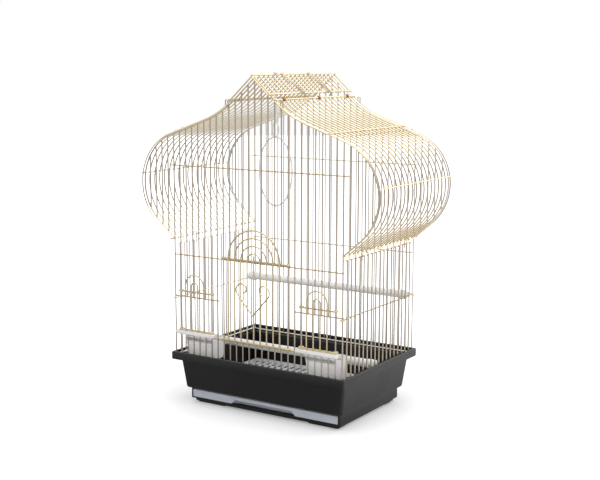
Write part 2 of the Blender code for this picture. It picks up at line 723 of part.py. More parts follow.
def build_perch(name, place, z, radius, cap_radius, wire_z):
    """Perch: a round bar between two end caps, each slotted for a side panel's cross wire."""
    y = bar_y(place)
    end = BODY_X - BAR / 2 - GAP
    joint = end - PERCH_CAP_LENGTH
    mesh = bmesh.new()
    join_rings(mesh, [perch_ring(mesh, x, y, z, radius) for x in (-joint + GAP, joint - GAP)])
    add_object(name, mesh, "white_plastic")
    slot_depth = LAYER + GAP
    half = BAR / 2 + GAP
    for side, word in ((-1, "left"), (1, "right")):
        mesh = bmesh.new()
        inner = cap_radius - PERCH_CHAMFER
        stations = ((joint, cap_radius), (end - PERCH_CHAMFER, cap_radius), (end, inner))
        join_rings(mesh, [perch_ring(mesh, side * x, y, z, r) for x, r in stations])
        cap = add_object(f"{name}_cap_{word}", mesh, "white_plastic")
        ends = sorted((side * (end - slot_depth), side * (end + slot_depth)))
        reach = 2 * cap_radius
        slot = box((ends[0], y - reach, wire_z - half), (ends[1], y + reach, wire_z + half))
        combine(cap, "DIFFERENCE", slot)


def build_swing():
    """Swing: an oval ring under a small oval neck and a stem that hooks over the ridge wire."""
    y = bar_y(SWING_PLACE)
    hook = (BAR + SWING_WIRE) / 2 + LOOP_SLACK
    ring_z = SWING_BOTTOM_Z + SWING_RING_HALF[1]
    neck_z = ring_z + SWING_RING_HALF[1] + SWING_NECK_HALF[1]
    stem_z = neck_z + SWING_NECK_HALF[1]
    circle = arc((0, 0), 1, 0, 2 * math.pi, 20)[:-1]
    ring = [(px * SWING_RING_HALF[0], y, ring_z + pz * SWING_RING_HALF[1]) for px, pz in circle]
    small = arc((0, 0), 1, 0, 2 * math.pi, 12)[:-1]
    neck = [(px * SWING_NECK_HALF[0], y, neck_z + pz * SWING_NECK_HALF[1]) for px, pz in small]
    turns = arc((0, RIDGE_WIRE_Z), hook, math.pi, -LOOP_TURN / 4, 6)
    stem = [(0, y, stem_z), (0, y, RIDGE_WIRE_Z - 5 * hook)] + [(px, y, pz) for px, pz in turns]
    origin = Vector((0, y, RIDGE_WIRE_Z))
    shapes = []
    for path, closed in ((ring, True), (neck, True), (stem, False)):
        mesh = bmesh.new()
        sweep(mesh, path, SWING_WIRE, (0, 1, 0), sides=6, closed=closed)
        shapes.append(mesh)
    obj = add_object("swing", shapes[0], "white_plastic", origin)
    combine(obj, "UNION", *shapes[1:])


def build_tub():
    """Base tub: plinth on four pads, drawer housing, sloping tub and the lip round its top."""
    plinth = shifted(HOUSING_HALF, -PLINTH_INSET)
    seat = (BODY_X + FRAME / 2 + GAP, BODY_Y + FRAME / 2 + GAP)
    lip = shifted(seat, LIP_WALL)
    outer = loft(
        rounded(plinth, BAY_CORNER, PAD_HEIGHT),
        rounded(plinth, BAY_CORNER, PLINTH_TOP),
        rounded(HOUSING_HALF, BAY_CORNER, PLINTH_TOP),
        rounded(HOUSING_HALF, BAY_CORNER, HOUSING_TOP),
        rounded(TUB_FLOOR_HALF, TUB_CORNER, HOUSING_TOP),
        rounded(TUB_TOP_HALF, TUB_CORNER, LIP_BOTTOM),
        rounded(lip, LIP_CORNER, LIP_BOTTOM),
        rounded(lip, LIP_CORNER, LIP_TOP),
    )
    tub = add_object("base_tub", outer, "black_plastic")
    pads = bmesh.new()
    sink = PAD_HEIGHT + PAD_HEIGHT / 2
    half = (PAD_SIZE[0] / 2, PAD_SIZE[1] / 2)
    reach = (plinth[0] - half[0] - PAD_INSET, plinth[1] - half[1] - PAD_INSET)
    for x, y in ((1, 1), (-1, 1), (-1, -1), (1, -1)):
        middle = (x * reach[0], y * reach[1])
        outlines = [rounded(half, BAY_CORNER, z, middle, 2) for z in (0, sink)]
        join_rings(pads, [[pads.verts.new(point) for point in ring] for ring in outlines])
    floor_inside = shifted(TUB_FLOOR_HALF, -TUB_WALL)
    top_inside = shifted(TUB_TOP_HALF, -TUB_WALL)
    corner = TUB_CORNER - TUB_WALL
    hollow = loft(rounded(floor_inside, corner, LEDGE_Z), rounded(top_inside, corner, SEAT_Z + GAP))
    pocket = box((-seat[0], -seat[1], SEAT_Z), (seat[0], seat[1], LIP_TOP + LIP_WALL))
    bay = box((-BAY_HALF, -BODY_Y, BAY_FLOOR), (BAY_HALF, BAY_REAR, BAY_TOP))
    ledge = shifted(floor_inside, -LEDGE_REACH)
    hole = box((-ledge[0], -ledge[1], BAY_TOP - GAP), (ledge[0], ledge[1], LEDGE_Z + GAP))
    combine(tub, "UNION", pads)
    combine(tub, "DIFFERENCE", hollow, pocket, bay, hole)


def build_drawer():
    """Drawer: a shallow tray behind a front plate, scooped out below for the fingers."""
    front = -HOUSING_HALF[1]
    rear = BAY_REAR - DRAWER_STOP
    half = BAY_HALF - DRAWER_CLEARANCE
    low = BAY_FLOOR + GAP
    wall_top = low + DRAWER_WALL_HEIGHT
    behind = front + DRAWER_FRONT_THICK
    inner = half - DRAWER_WALL
    floor = low + DRAWER_WALL
    scoop_top = low + SCOOP_HEIGHT
    scoop_back = front + SCOOP_DEPTH + DRAWER_WALL
    wide = SCOOP_HALF + DRAWER_WALL
    above = low + DRAWER_FRONT_HEIGHT
    tray = add_object("drawer_tray", box((-half, front, low), (half, rear, above)), "grey_plastic")
    trim = box((-half - GAP, behind, wall_top), (half + GAP, rear + GAP, above + GAP))
    main = box((-inner, scoop_back, floor), (inner, rear - DRAWER_WALL, above))
    over = box((-inner, behind, scoop_top + DRAWER_WALL), (inner, scoop_back + GAP, above))
    left = box((-inner, behind, floor), (-wide, scoop_back + GAP, above))
    right = box((wide, behind, floor), (inner, scoop_back + GAP, above))
    under = low - GAP
    shape = [(-SCOOP_HALF, under), (SCOOP_END - SCOOP_HALF, scoop_top),
             (SCOOP_HALF - SCOOP_END, scoop_top), (SCOOP_HALF, under)]
    scoop = loft([(x, front - GAP, z) for x, z in shape],
                 [(x, front + SCOOP_DEPTH, z) for x, z in shape])
    combine(tray, "DIFFERENCE", trim, main, over, left, right, scoop)


def build_grille():
    """Floor grille: a flat plate with rows of slots, laid loose on the tub's ledge."""
    half = shifted(TUB_FLOOR_HALF, -TUB_WALL - GRILLE_CLEARANCE)
    low = LEDGE_Z + GAP
    high = low + GRILLE_THICK
    corner = TUB_CORNER - TUB_WALL
    plate = loft(rounded(half, corner, low), rounded(half, corner, high))
    grille = add_object("floor_grille", plate, "pale_plastic")
    slots = bmesh.new()
    pitch_x = 2 * (half[0] - GRILLE_BORDER) / GRILLE_COLUMNS
    pitch_y = 2 * (half[1] - GRILLE_BORDER) / GRILLE_ROWS
    wide = (pitch_x - GRILLE_RIB) / 2
    long = (pitch_y - GRILLE_ROW_RIB) / 2
    for column in range(GRILLE_COLUMNS):
        x = (column - (GRILLE_COLUMNS - 1) / 2) * pitch_x
        for row in range(GRILLE_ROWS):
            y = (row - (GRILLE_ROWS - 1) / 2) * pitch_y
            corners = ((x - wide, y - long), (x + wide, y - long),
                       (x + wide, y + long), (x - wide, y + long))
            rings = [[slots.verts.new((px, py, z)) for px, py in corners]
                     for z in (low - GAP, high + GAP)]
            join_rings(slots, rings)
    combine(grille, "DIFFERENCE", slots)


clear_scene()
build_tub()
build_drawer()
build_grille()
build_front_panel()
build_rear_panel()
build_side_panel("left_side_panel", -1)
build_side_panel("right_side_panel", 1)
build_roof_sheet("left_roof_sheet", -1, LEFT_SHEET_TOP_X)
build_roof_sheet("right_roof_sheet", 1, RIGHT_SHEET_TOP_X)
build_roof_cap()
build_ridge_hooks()
build_clips()
build_main_door()
build_heart()
build_feeder_door("left_feeder_door", -1)
build_feeder_door("right_feeder_door", 1)
build_feeder_cup("left_feeder_cup", -1)
build_feeder_cup("right_feeder_cup", 1)
build_perch("upper_perch", UPPER_PERCH_PLACE, SIDE_MIDDLE_Z + UPPER_PERCH_LIFT,
            UPPER_PERCH_RADIUS, UPPER_PERCH_CAP_RADIUS, SIDE_MIDDLE_Z)
build_perch("lower_perch", LOWER_PERCH_PLACE, SEAT_Z + GAP + LOWER_PERCH_CAP_RADIUS,
            LOWER_PERCH_RADIUS, LOWER_PERCH_CAP_RADIUS, SIDE_BOTTOM_Z)
build_swing()
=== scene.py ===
from math import asin, atan2, copysign, cos, pi, radians, sin, tan

import bmesh
import bpy
from mathutils import Matrix, Vector


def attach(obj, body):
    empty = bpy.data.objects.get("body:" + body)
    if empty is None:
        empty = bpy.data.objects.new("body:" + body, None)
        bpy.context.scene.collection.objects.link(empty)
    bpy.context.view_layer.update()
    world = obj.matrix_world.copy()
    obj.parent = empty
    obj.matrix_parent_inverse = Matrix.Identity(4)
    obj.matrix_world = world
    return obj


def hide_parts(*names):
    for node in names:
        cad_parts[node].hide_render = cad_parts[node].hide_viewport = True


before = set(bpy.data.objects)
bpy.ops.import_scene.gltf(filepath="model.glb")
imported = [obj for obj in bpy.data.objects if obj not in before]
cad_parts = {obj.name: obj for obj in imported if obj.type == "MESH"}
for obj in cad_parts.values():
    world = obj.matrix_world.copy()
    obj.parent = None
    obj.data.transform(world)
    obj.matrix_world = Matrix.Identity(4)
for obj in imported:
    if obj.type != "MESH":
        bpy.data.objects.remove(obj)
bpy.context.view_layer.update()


# Base tub. The real one is a single black moulding: a sloping tub with a turned-out lip, and under
# it a lower housing that the drawer slides into. Its skin is satin, with a very fine pebble.

SHARP_ANGLE = radians(35)
TUB_FOOT = (0.1357, 0.0917, 0.0, 0.0045)
TUB_HEAD = (0.142, 0.0961, 0.0, 0.0045)
LIP_OUT = (0.1491, 0.1091, 0.0, 0.0024)
SEAT_OUT = (0.1451, 0.1051, 0.0, 0.001)
TUB_HEAD_IN = (0.1395, 0.0936, 0.0, 0.002)
TUB_FOOT_IN = (0.1332, 0.0892, 0.0, 0.002)
LEDGE_IN = (0.1212, 0.0772, 0.0, 0.002)
HOUSING = (0.1305, 0.0862, 0.0, 0.003)
PLINTH = (0.126, 0.0817, 0.0, 0.003)
PAD_HALF = (0.026, 0.011)
PAD_MIDDLE = (0.0978, 0.0685)
PLINTH_LOW = 0.0025
PLINTH_HIGH = 0.007
HOUSING_TOP = 0.0238
LIP_BOTTOM = 0.069
LIP_TOP = 0.0808
SEAT_Z = 0.0727
LEDGE_TOP = 0.0265
LEDGE_UNDER = 0.0217
BAY_LOW = (-0.1271, -0.1035, 0.0087)
BAY_HIGH = (0.1271, 0.081, LEDGE_UNDER)


def place(tree, kind, values=None, **settings):
    """Add a node; a value is either one for the socket itself or another node's output."""
    node = tree.nodes.new(kind)
    for key, value in settings.items():
        setattr(node, key, value)
    for key, value in (values or {}).items():
        if isinstance(value, bpy.types.NodeSocket):
            tree.links.new(value, node.inputs[key])
        else:
            node.inputs[key].default_value = value
    return node


def result(tree, kind, values=None, **settings):
    """The first output of a new node."""
    return place(tree, kind, values, **settings).outputs[0]


def sums(tree, operation, *numbers):
    """A sum on numbers or on other nodes' outputs."""
    return result(tree, "ShaderNodeMath", dict(enumerate(numbers)), operation=operation)


def ranged(tree, value, low, high, to_low=0.0, to_high=1.0, **settings):
    """A value carried over from one range to another."""
    ends = {"Value": value, "From Min": low, "From Max": high, "To Min": to_low, "To Max": to_high}
    return result(tree, "ShaderNodeMapRange", ends, **settings)


def blended(tree, share, first, second):
    """Two colours mixed by a share."""
    mix = place(tree, "ShaderNodeMix", {0: share, 6: first, 7: second}, data_type="RGBA")
    return mix.outputs[2]


def grain(tree, where, size, detail):
    """Noise with grains of a given size."""
    often = sums(tree, "DIVIDE", 1.0, size)
    return result(tree, "ShaderNodeTexNoise", {"Vector": where, "Scale": often, "Detail": detail})


def group_with(name, kind, takes, gives):
    """A node group with sockets, named under their kinds, and what its input node gives."""
    tree = bpy.data.node_groups.new(name, kind)
    for in_out, sockets in (("INPUT", takes), ("OUTPUT", gives)):
        for sort, labels in sockets.items():
            for label in labels:
                tree.interface.new_socket(name=label, in_out=in_out, socket_type="NodeSocket" + sort)
    return tree, place(tree, "NodeGroupInput").outputs


def started_skin(name, tones, fine, detail):
    """What every skin starts with: its inputs, soft patches and a fine bump."""
    tree, given = group_with(name, "ShaderNodeTree", {
        "Color": tones,
        "Float": ("Patch size", "Roughness", "Gloss spread", fine + " size", fine + " depth"),
    }, {"Color": ("Colour",), "Float": ("Roughness",), "Vector": ("Normal",)})
    where = place(tree, "ShaderNodeTexCoord").outputs["Object"]
    patches = grain(tree, where, given["Patch size"], detail)
    marks = grain(tree, where, given[fine + " size"], 1.0)
    normal = result(tree, "ShaderNodeBump", {"Height": marks, "Distance": given[fine + " depth"]})
    return tree, given, patches, normal


def finished_skin(tree, given, colour, dullness, normal):
    """End a skin; its roughness follows how dull each place is."""
    rough = sums(tree, "MULTIPLY_ADD", dullness, given["Gloss spread"], given["Roughness"])
    place(tree, "NodeGroupOutput", {"Colour": colour, "Roughness": rough, "Normal": normal})
    return tree


def build_satin_skin():
    """Skin of a moulding: two tones in soft patches, uneven gloss and a pebble."""
    tree, given, patches, normal = started_skin("satin_skin", ("Colour", "Second colour"), "Pebble", 3.0)
    spread = ranged(tree, patches, low=0.35, high=0.65)
    tones = blended(tree, spread, given["Colour"], given["Second colour"])
    return finished_skin(tree, given, tones, sums(tree, "SUBTRACT", spread, 0.5), normal)


satin_skin = build_satin_skin()


def shaded(name):
    """A new material, its node tree and its shader."""
    material = bpy.data.materials.new(name)
    material.use_nodes = True
    return material, material.node_tree, material.node_tree.nodes["Principled BSDF"]


def skinned(name, skin, numbers, **shader_values):
    """A material: a skin, with the values of its inputs in order, on a plain shader."""
    material, tree, shader = shaded(name)
    cover = place(tree, "ShaderNodeGroup", node_tree=skin)
    for socket, value in zip(cover.inputs, numbers):
        socket.default_value = value
    for source, target in zip(cover.outputs, ("Base Color", "Roughness", "Normal")):
        tree.links.new(source, shader.inputs[target])
    for label, value in shader_values.items():
        shader.inputs[label.replace("_", " ")].default_value = value
    return material


def moulded(name, colour, second, patch, roughness, spread, pebble, depth, **shader_values):
    """The material of a moulding."""
    numbers = ((*colour, 1.0), (*second, 1.0), patch, roughness, spread, pebble, depth)
    return skinned(name, satin_skin, numbers, **shader_values)


def ring_at(station, centre_x=0.0, steps=7):
    """A rounded rectangle: half width, half depth, middle in Y, corner radius and height."""
    half_x, half_y, middle, corner, z = station
    ring = []
    for turn, (x, y) in enumerate(((1, 1), (-1, 1), (-1, -1), (1, -1))):
        for step in range(steps + 1):
            angle = (turn + step / steps) * pi / 2
            ring.append((centre_x + x * (half_x - corner) + corner * cos(angle),
                         middle + y * (half_y - corner) + corner * sin(angle), z))
    return ring


def eased(corners, steps=4):
    """Round each corner of a wall's outline; its last number is how far the rounding reaches."""
    line = []
    for index, (*here, reach) in enumerate(corners):
        if not reach:
            line.append(here)
            continue
        ends = []
        for other in (corners[index - 1], corners[(index + 1) % len(corners)]):
            run = max(abs(a - b) for a, b in zip(here, other))
            share = min(0.5, reach / run) if run else 0.0
            ends.append([a + (b - a) * share for a, b in zip(here, other)])
        for t in [step / steps for step in range(steps + 1)]:
            line.append([(1 - t) ** 2 * a + 2 * t * (1 - t) * b + t * t * c
                         for a, b, c in zip(ends[0], here, ends[1])])
    return line


def shifted(items):
    """The same items, each moved up by one place."""
    return items[1:] + items[:1]


def skin_rings(rings, closed=False, mesh=None):
    """Join rings of points into a surface, and cap it if it doesn't run back into itself."""
    mesh = bmesh.new() if mesh is None else mesh
    rows = [[mesh.verts.new(point) for point in ring] for ring in rings]
    for first, second in zip(rows, shifted(rows) if closed else rows[1:]):
        for face in zip(first, shifted(first), shifted(second), second):
            mesh.faces.new(face)
    if not closed:
        mesh.faces.new(rows[0])
        mesh.faces.new(rows[-1])
    return mesh


def lofted(stations, centre_x=0.0, steps=7, **settings):
    """A surface through the rounded rectangles of some stations."""
    return skin_rings([ring_at(station, centre_x, steps) for station in stations], **settings)


def block(low, high):
    """A plain box, used to cut with."""
    sides = ((low[1], low[2]), (high[1], low[2]), (high[1], high[2]), (low[1], high[2]))
    return skin_rings([[(x, y, z) for y, z in sides] for x in (low[0], high[0])])


def as_data(name, mesh):
    """The mesh that a bmesh holds; the bmesh is freed."""
    data = bpy.data.meshes.new(name)
    mesh.to_mesh(data)
    mesh.free()
    return data


def linked(name, data):
    """A new object in the scene."""
    obj = bpy.data.objects.new(name, data)
    bpy.context.scene.collection.objects.link(obj)
    return obj


def as_object(name, mesh):
    """Put a bmesh in the scene, faces outwards."""
    bmesh.ops.recalc_face_normals(mesh, faces=mesh.faces)
    return linked(name, as_data(name, mesh))


def settled(obj, *guides):
    """The object's mesh with its modifiers worked in; the object and its guides are removed."""
    graph = bpy.context.evaluated_depsgraph_get()
    data = bpy.data.meshes.new_from_object(
        obj.evaluated_get(graph), preserve_all_data_layers=True, depsgraph=graph)
    for spent in (obj, *guides):
        bpy.data.objects.remove(spent)
    return data


def carved(name, mesh, cuts=(), edge=0.0):
    """A solid with boxes cut out of it and its sharp edges rounded, as a mesh."""
    obj = as_object(name, mesh)
    guides = [as_object(f"{name}_cut_{number}", cut) for number, cut in enumerate(cuts)]
    for guide in guides:
        modifier = obj.modifiers.new("cut", "BOOLEAN")
        modifier.operation = "DIFFERENCE"
        modifier.solver = "EXACT"
        modifier.object = guide
    if edge:
        modifier = obj.modifiers.new("edge", "BEVEL")
        modifier.width = edge
        modifier.segments = 2
        modifier.limit_method = "ANGLE"
        modifier.angle_limit = SHARP_ANGLE
    return settled(obj, *guides)


def fit(name, meshes, material, body, node):
    """Join meshes into one piece that rides on a body and stands for a CAD node."""
    whole = bmesh.new()
    for data in meshes:
        whole.from_mesh(data)
        bpy.data.meshes.remove(data)
    data = as_data(name, whole)
    data.materials.append(material)
    data.shade_smooth()
    data.set_sharp_from_angle(angle=SHARP_ANGLE)
    obj = linked(name, data)
    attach(obj, body)
    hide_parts(node)


black_plastic = moulded(
    "black_moulding", (0.003, 0.003, 0.0033), (0.0046, 0.0045, 0.0048),
    patch=0.06, roughness=0.36, spread=0.1, pebble=0.0011, depth=0.00003,
    Specular_IOR_Level=0.52)

tub_wall = eased((
    (*TUB_FOOT, HOUSING_TOP, 0.002),
    (*TUB_HEAD, LIP_BOTTOM, 0.0008),
    (*LIP_OUT, LIP_BOTTOM, 0.0014),
    (*LIP_OUT, LIP_TOP, 0.0018),
    (*SEAT_OUT, LIP_TOP, 0.001),
    (*SEAT_OUT, SEAT_Z, 0.0003),
    (*TUB_HEAD_IN, SEAT_Z, 0.001),
    (*TUB_FOOT_IN, LEDGE_TOP, 0.002),
    (*LEDGE_IN, LEDGE_TOP, 0.0008),
    (*LEDGE_IN, LEDGE_UNDER, 0.0),
))
bowl = carved("bowl", lofted(tub_wall, closed=True))
housing_steps = (
    (*PLINTH, PLINTH_LOW),
    (*PLINTH, PLINTH_HIGH),
    (*HOUSING, PLINTH_HIGH),
    (*HOUSING, HOUSING_TOP),
)
ledge_hole = block((-LEDGE_IN[0], -LEDGE_IN[1], LEDGE_UNDER - 0.0007),
                   (LEDGE_IN[0], LEDGE_IN[1], LEDGE_TOP + 0.0035))
housing = carved("housing", lofted(housing_steps, steps=4),
                 cuts=(block(BAY_LOW, BAY_HIGH), ledge_hole), edge=0.0006)
pad_mesh = bmesh.new()
for pad_x in (-PAD_MIDDLE[0], PAD_MIDDLE[0]):
    for pad_y in (-PAD_MIDDLE[1], PAD_MIDDLE[1]):
        pad_line = eased((
            (PAD_HALF[0] - 0.001, PAD_HALF[1] - 0.001, pad_y, 0.003, 0.0, 0.0),
            (*PAD_HALF, pad_y, 0.004, 0.001, 0.0006),
            (*PAD_HALF, pad_y, 0.004, 0.0035, 0.0),
        ), steps=3)
        lofted(pad_line, pad_x, steps=4, mesh=pad_mesh)
pads = carved("pads", pad_mesh)
fit("base_tub_moulding", (bowl, housing, pads), black_plastic, "cage", "base_tub")


# Drawer. A shallow tray of pale blue-grey plastic; its front plate is cut up into a finger hollow
# below, and the tray's floor turns up behind that hollow. It slides out of the housing.

DRAWER_HALF = 0.1267
DRAWER_FRONT = -0.0862
DRAWER_REAR = 0.0795
DRAWER_LOW = 0.009
DRAWER_TOP = 0.0207
TRAY_TOP = 0.0185
TRAY_WALL = 0.002
PLATE_THICK = 0.003
HOLLOW_HALF = 0.057
HOLLOW_END = 0.009
HOLLOW_RISE = 0.0062
HOLLOW_DEPTH = 0.008
PLATE_ROUND = 0.0006

drawer_plastic = moulded(
    "blue_grey_moulding", (0.475, 0.5, 0.56), (0.515, 0.54, 0.595),
    patch=0.04, roughness=0.38, spread=0.12, pebble=0.0009, depth=0.00002)

plate_rings = []
plate_stops = [-DRAWER_HALF, -DRAWER_HALF + PLATE_ROUND]
plate_stops += [-HOLLOW_HALF + HOLLOW_END * step / 8 for step in range(9)]
plate_stops += [-stop for stop in reversed(plate_stops)]
for stop in plate_stops:
    into = min(1.0, max(0.0, (HOLLOW_HALF - abs(stop)) / HOLLOW_END))
    rise = HOLLOW_RISE * into * into * (3 - 2 * into)
    trim = 0.0005 if abs(stop) == DRAWER_HALF else 0.0
    face = DRAWER_FRONT + trim
    ceiling = DRAWER_LOW + rise
    upper = ceiling + TRAY_WALL
    depth = DRAWER_FRONT + PLATE_ROUND + HOLLOW_DEPTH * (0.25 + 0.75 * into)
    back = DRAWER_FRONT + PLATE_THICK
    crown = DRAWER_TOP - trim
    plate_rings.append([(stop, y, z) for y, z in (
        (face, crown - PLATE_ROUND),
        (face, ceiling + PLATE_ROUND + trim),
        (face + PLATE_ROUND, ceiling + trim),
        (depth - 0.0012, ceiling + trim),
        (depth, ceiling - rise * 0.35),
        (depth, DRAWER_LOW),
        (depth + TRAY_WALL, DRAWER_LOW),
        (depth + TRAY_WALL, upper - PLATE_ROUND),
        (depth + TRAY_WALL - 0.001, upper),
        (back, upper),
        (back - trim, crown - PLATE_ROUND),
        (back - PLATE_ROUND, crown),
        (face + PLATE_ROUND, crown),
    )])
plate = carved("plate", skin_rings(plate_rings))
tray_front = DRAWER_FRONT + 0.002
tray_middle = (tray_front + DRAWER_REAR) / 2
tray_half = (DRAWER_REAR - tray_front) / 2
tray_floor = DRAWER_LOW + TRAY_WALL
tray_steps = (
    (0.002, 0.003, DRAWER_LOW, 0.0),
    (0.0, 0.004, DRAWER_LOW, 0.0012),
    (0.0, 0.004, TRAY_TOP, 0.0007),
    (TRAY_WALL, 0.003, TRAY_TOP, 0.0007),
    (TRAY_WALL, 0.003, tray_floor, 0.0012),
    (0.006, 0.002, tray_floor, 0.0),
)
tray_wall = eased([(DRAWER_HALF - inset, tray_half - inset, tray_middle, corner, z, reach)
                   for inset, corner, z, reach in tray_steps])
hollow_cut = block((-HOLLOW_HALF - 0.0006, DRAWER_FRONT - 0.001, DRAWER_LOW - 0.001),
                   (HOLLOW_HALF + 0.0006, DRAWER_FRONT + HOLLOW_DEPTH + 0.0012, TRAY_TOP + 0.001))
tray = carved("tray", lofted(tray_wall), cuts=(hollow_cut,))
fit("drawer_moulding", (plate, tray), drawer_plastic, "drawer", "drawer_tray")


# Floor grille. A loose plate of pale grey plastic on the tub's ledge, moulded with rows of short
# slots that let litter fall into the drawer, and stiffened by a rim under its edge. One slot's
# surround is made and laid out in rows.

GRILLE_HALF = (0.1287, 0.0847)
GRILLE_LOW = 0.0268
GRILLE_TOP = 0.0313
GRILLE_THICK = 0.0014
RIM_WALL = 0.003
CORNER_TRIM = 0.003
SLOT_PITCH = (0.0113, 0.018)
SLOT_SIZE = (0.0056, 0.015)
SLOT_COUNT = (21, 8)
SLOT_CORNER = 0.32

grille_plastic = moulded(
    "pale_grey_moulding", (0.6, 0.63, 0.68), (0.64, 0.67, 0.71),
    patch=0.05, roughness=0.34, spread=0.1, pebble=0.0009, depth=0.00002)


def together(tree, *shapes):
    """Several shapes as one."""
    joined = place(tree, "GeometryNodeJoinGeometry")
    for shape in shapes:
        tree.links.new(shape, joined.inputs[0])
    return joined.outputs[0]


def laid_out(tree, points, shape):
    """One shape put on each of some points, and made real."""
    copies = result(tree, "GeometryNodeInstanceOnPoints", {"Points": points, "Instance": shape})
    return result(tree, "GeometryNodeRealizeInstances", {"Geometry": copies})


def hand_out(tree, shape, finish, label):
    """End a tree with the material on its shape."""
    done = result(tree, "GeometryNodeSetMaterial", {"Geometry": shape, "Material": finish})
    place(tree, "NodeGroupOutput", {label: done})
    return tree


def build_slotted_plate():
    """A sheet with rows of rounded slots, thickened downwards from its top."""
    tree, given = group_with("slotted_plate", "GeometryNodeTree", {
        "Geometry": ("Border",),
        "Float": ("Column pitch", "Row pitch", "Slot width", "Slot length", "Top height", "Thickness"),
        "Int": ("Columns", "Rows"),
        "Material": ("Finish",),
    }, {"Geometry": ("Plate",)})
    outer = result(tree, "GeometryNodeCurvePrimitiveQuadrilateral",
                   {"Width": given["Column pitch"], "Height": given["Row pitch"]})
    slot = result(tree, "GeometryNodeCurvePrimitiveQuadrilateral",
                  {"Width": given["Slot width"], "Height": given["Slot length"]})
    radius = sums(tree, "MULTIPLY", given["Slot width"], SLOT_CORNER)
    slot = result(tree, "GeometryNodeFilletCurve",
                  {"Curve": slot, "Count": 3, "Radius": radius}, mode="POLY")
    cell = result(tree, "GeometryNodeFillCurve", {"Curve": together(tree, outer, slot)})
    columns, rows = [sums(tree, "SUBTRACT", given[label], 1.0) for label in ("Columns", "Rows")]
    points = result(tree, "GeometryNodeMeshGrid", {
        "Size X": sums(tree, "MULTIPLY", columns, given["Column pitch"]),
        "Size Y": sums(tree, "MULTIPLY", rows, given["Row pitch"]),
        "Vertices X": given["Columns"],
        "Vertices Y": given["Rows"],
    })
    whole = together(tree, laid_out(tree, points, cell), given["Border"])
    sheet = result(tree, "GeometryNodeMergeByDistance", {"Geometry": whole, "Distance": 1e-5})
    height = result(tree, "ShaderNodeCombineXYZ", {"Z": given["Top height"]})
    top = result(tree, "GeometryNodeTransform", {"Geometry": sheet, "Translation": height})
    thick = result(tree, "GeometryNodeExtrudeMesh", {
        "Mesh": top,
        "Offset": result(tree, "ShaderNodeCombineXYZ", {"Z": -1.0}),
        "Offset Scale": given["Thickness"],
        "Individual": False,
    })
    closed = result(tree, "GeometryNodeMergeByDistance",
                    {"Geometry": together(tree, thick, top), "Distance": 1e-5})
    single = result(tree, "GeometryNodeRealizeInstances", {"Geometry": closed})
    return hand_out(tree, single, given["Finish"], "Plate")


def grown(name, mesh, tree, values):
    """Run a node tree on a mesh, with its inputs set by identifier, and keep the result."""
    obj = linked(name, as_data(name, mesh))
    modifier = obj.modifiers.new(name, "NODES")
    modifier.node_group = tree
    for item in tree.interface.items_tree:
        if item.name in values:
            modifier[item.identifier] = values[item.name]
    return settled(obj)


field_x = SLOT_COUNT[0] * SLOT_PITCH[0] / 2
field_y = SLOT_COUNT[1] * SLOT_PITCH[1] / 2
columns_x = [-field_x + column * SLOT_PITCH[0] for column in range(SLOT_COUNT[0] + 1)]
rows_y = [-field_y + row * SLOT_PITCH[1] for row in range(SLOT_COUNT[1] + 1)]
inner_line = [(x, -field_y) for x in columns_x] + [(field_x, y) for y in rows_y[1:]]
inner_line += [(x, field_y) for x in columns_x[-2::-1]] + [(-field_x, y) for y in rows_y[-2:0:-1]]
border_mesh = bmesh.new()
inner_verts = [border_mesh.verts.new((x, y, 0.0)) for x, y in inner_line]
outer_verts = []
for x, y in inner_line:
    at_side = abs(abs(x) - field_x) < 1e-6
    at_end = abs(abs(y) - field_y) < 1e-6
    inset = CORNER_TRIM if at_side and at_end else 0.0
    out_x = copysign(GRILLE_HALF[0] - inset, x) if at_side else x
    out_y = copysign(GRILLE_HALF[1] - inset, y) if at_end else y
    outer_verts.append(border_mesh.verts.new((out_x, out_y, 0.0)))
for face in zip(outer_verts, shifted(outer_verts), shifted(inner_verts), inner_verts):
    border_mesh.faces.new(face)
slotted = grown("grille", border_mesh, build_slotted_plate(), {
    "Column pitch": SLOT_PITCH[0],
    "Row pitch": SLOT_PITCH[1],
    "Columns": SLOT_COUNT[0],
    "Rows": SLOT_COUNT[1],
    "Slot width": SLOT_SIZE[0],
    "Slot length": SLOT_SIZE[1],
    "Top height": GRILLE_TOP,
    "Thickness": GRILLE_THICK,
    "Finish": grille_plastic,
})
slotted_mesh = bmesh.new()
slotted_mesh.from_mesh(slotted)
bpy.data.meshes.remove(slotted)
rim_in = (GRILLE_HALF[0] - RIM_WALL, GRILLE_HALF[1] - RIM_WALL)
rim_high = GRILLE_TOP - GRILLE_THICK / 2
rim_line = [(*half, 0.0, 0.002, z) for half, z in (
    (GRILLE_HALF, GRILLE_LOW), (GRILLE_HALF, rim_high), (rim_in, rim_high), (rim_in, GRILLE_LOW))]
rim = carved("grille_rim", lofted(rim_line, closed=True))
fit("floor_grille_moulding", (carved("grille_plate", slotted_mesh), rim), grille_plastic, "cage",
    "floor_grille")


# Front panel. Straight steel wires, plated pale gold, are spot-welded to cross wires and to one
# thicker wire bent into the onion outline. Three openings are left for the doors.

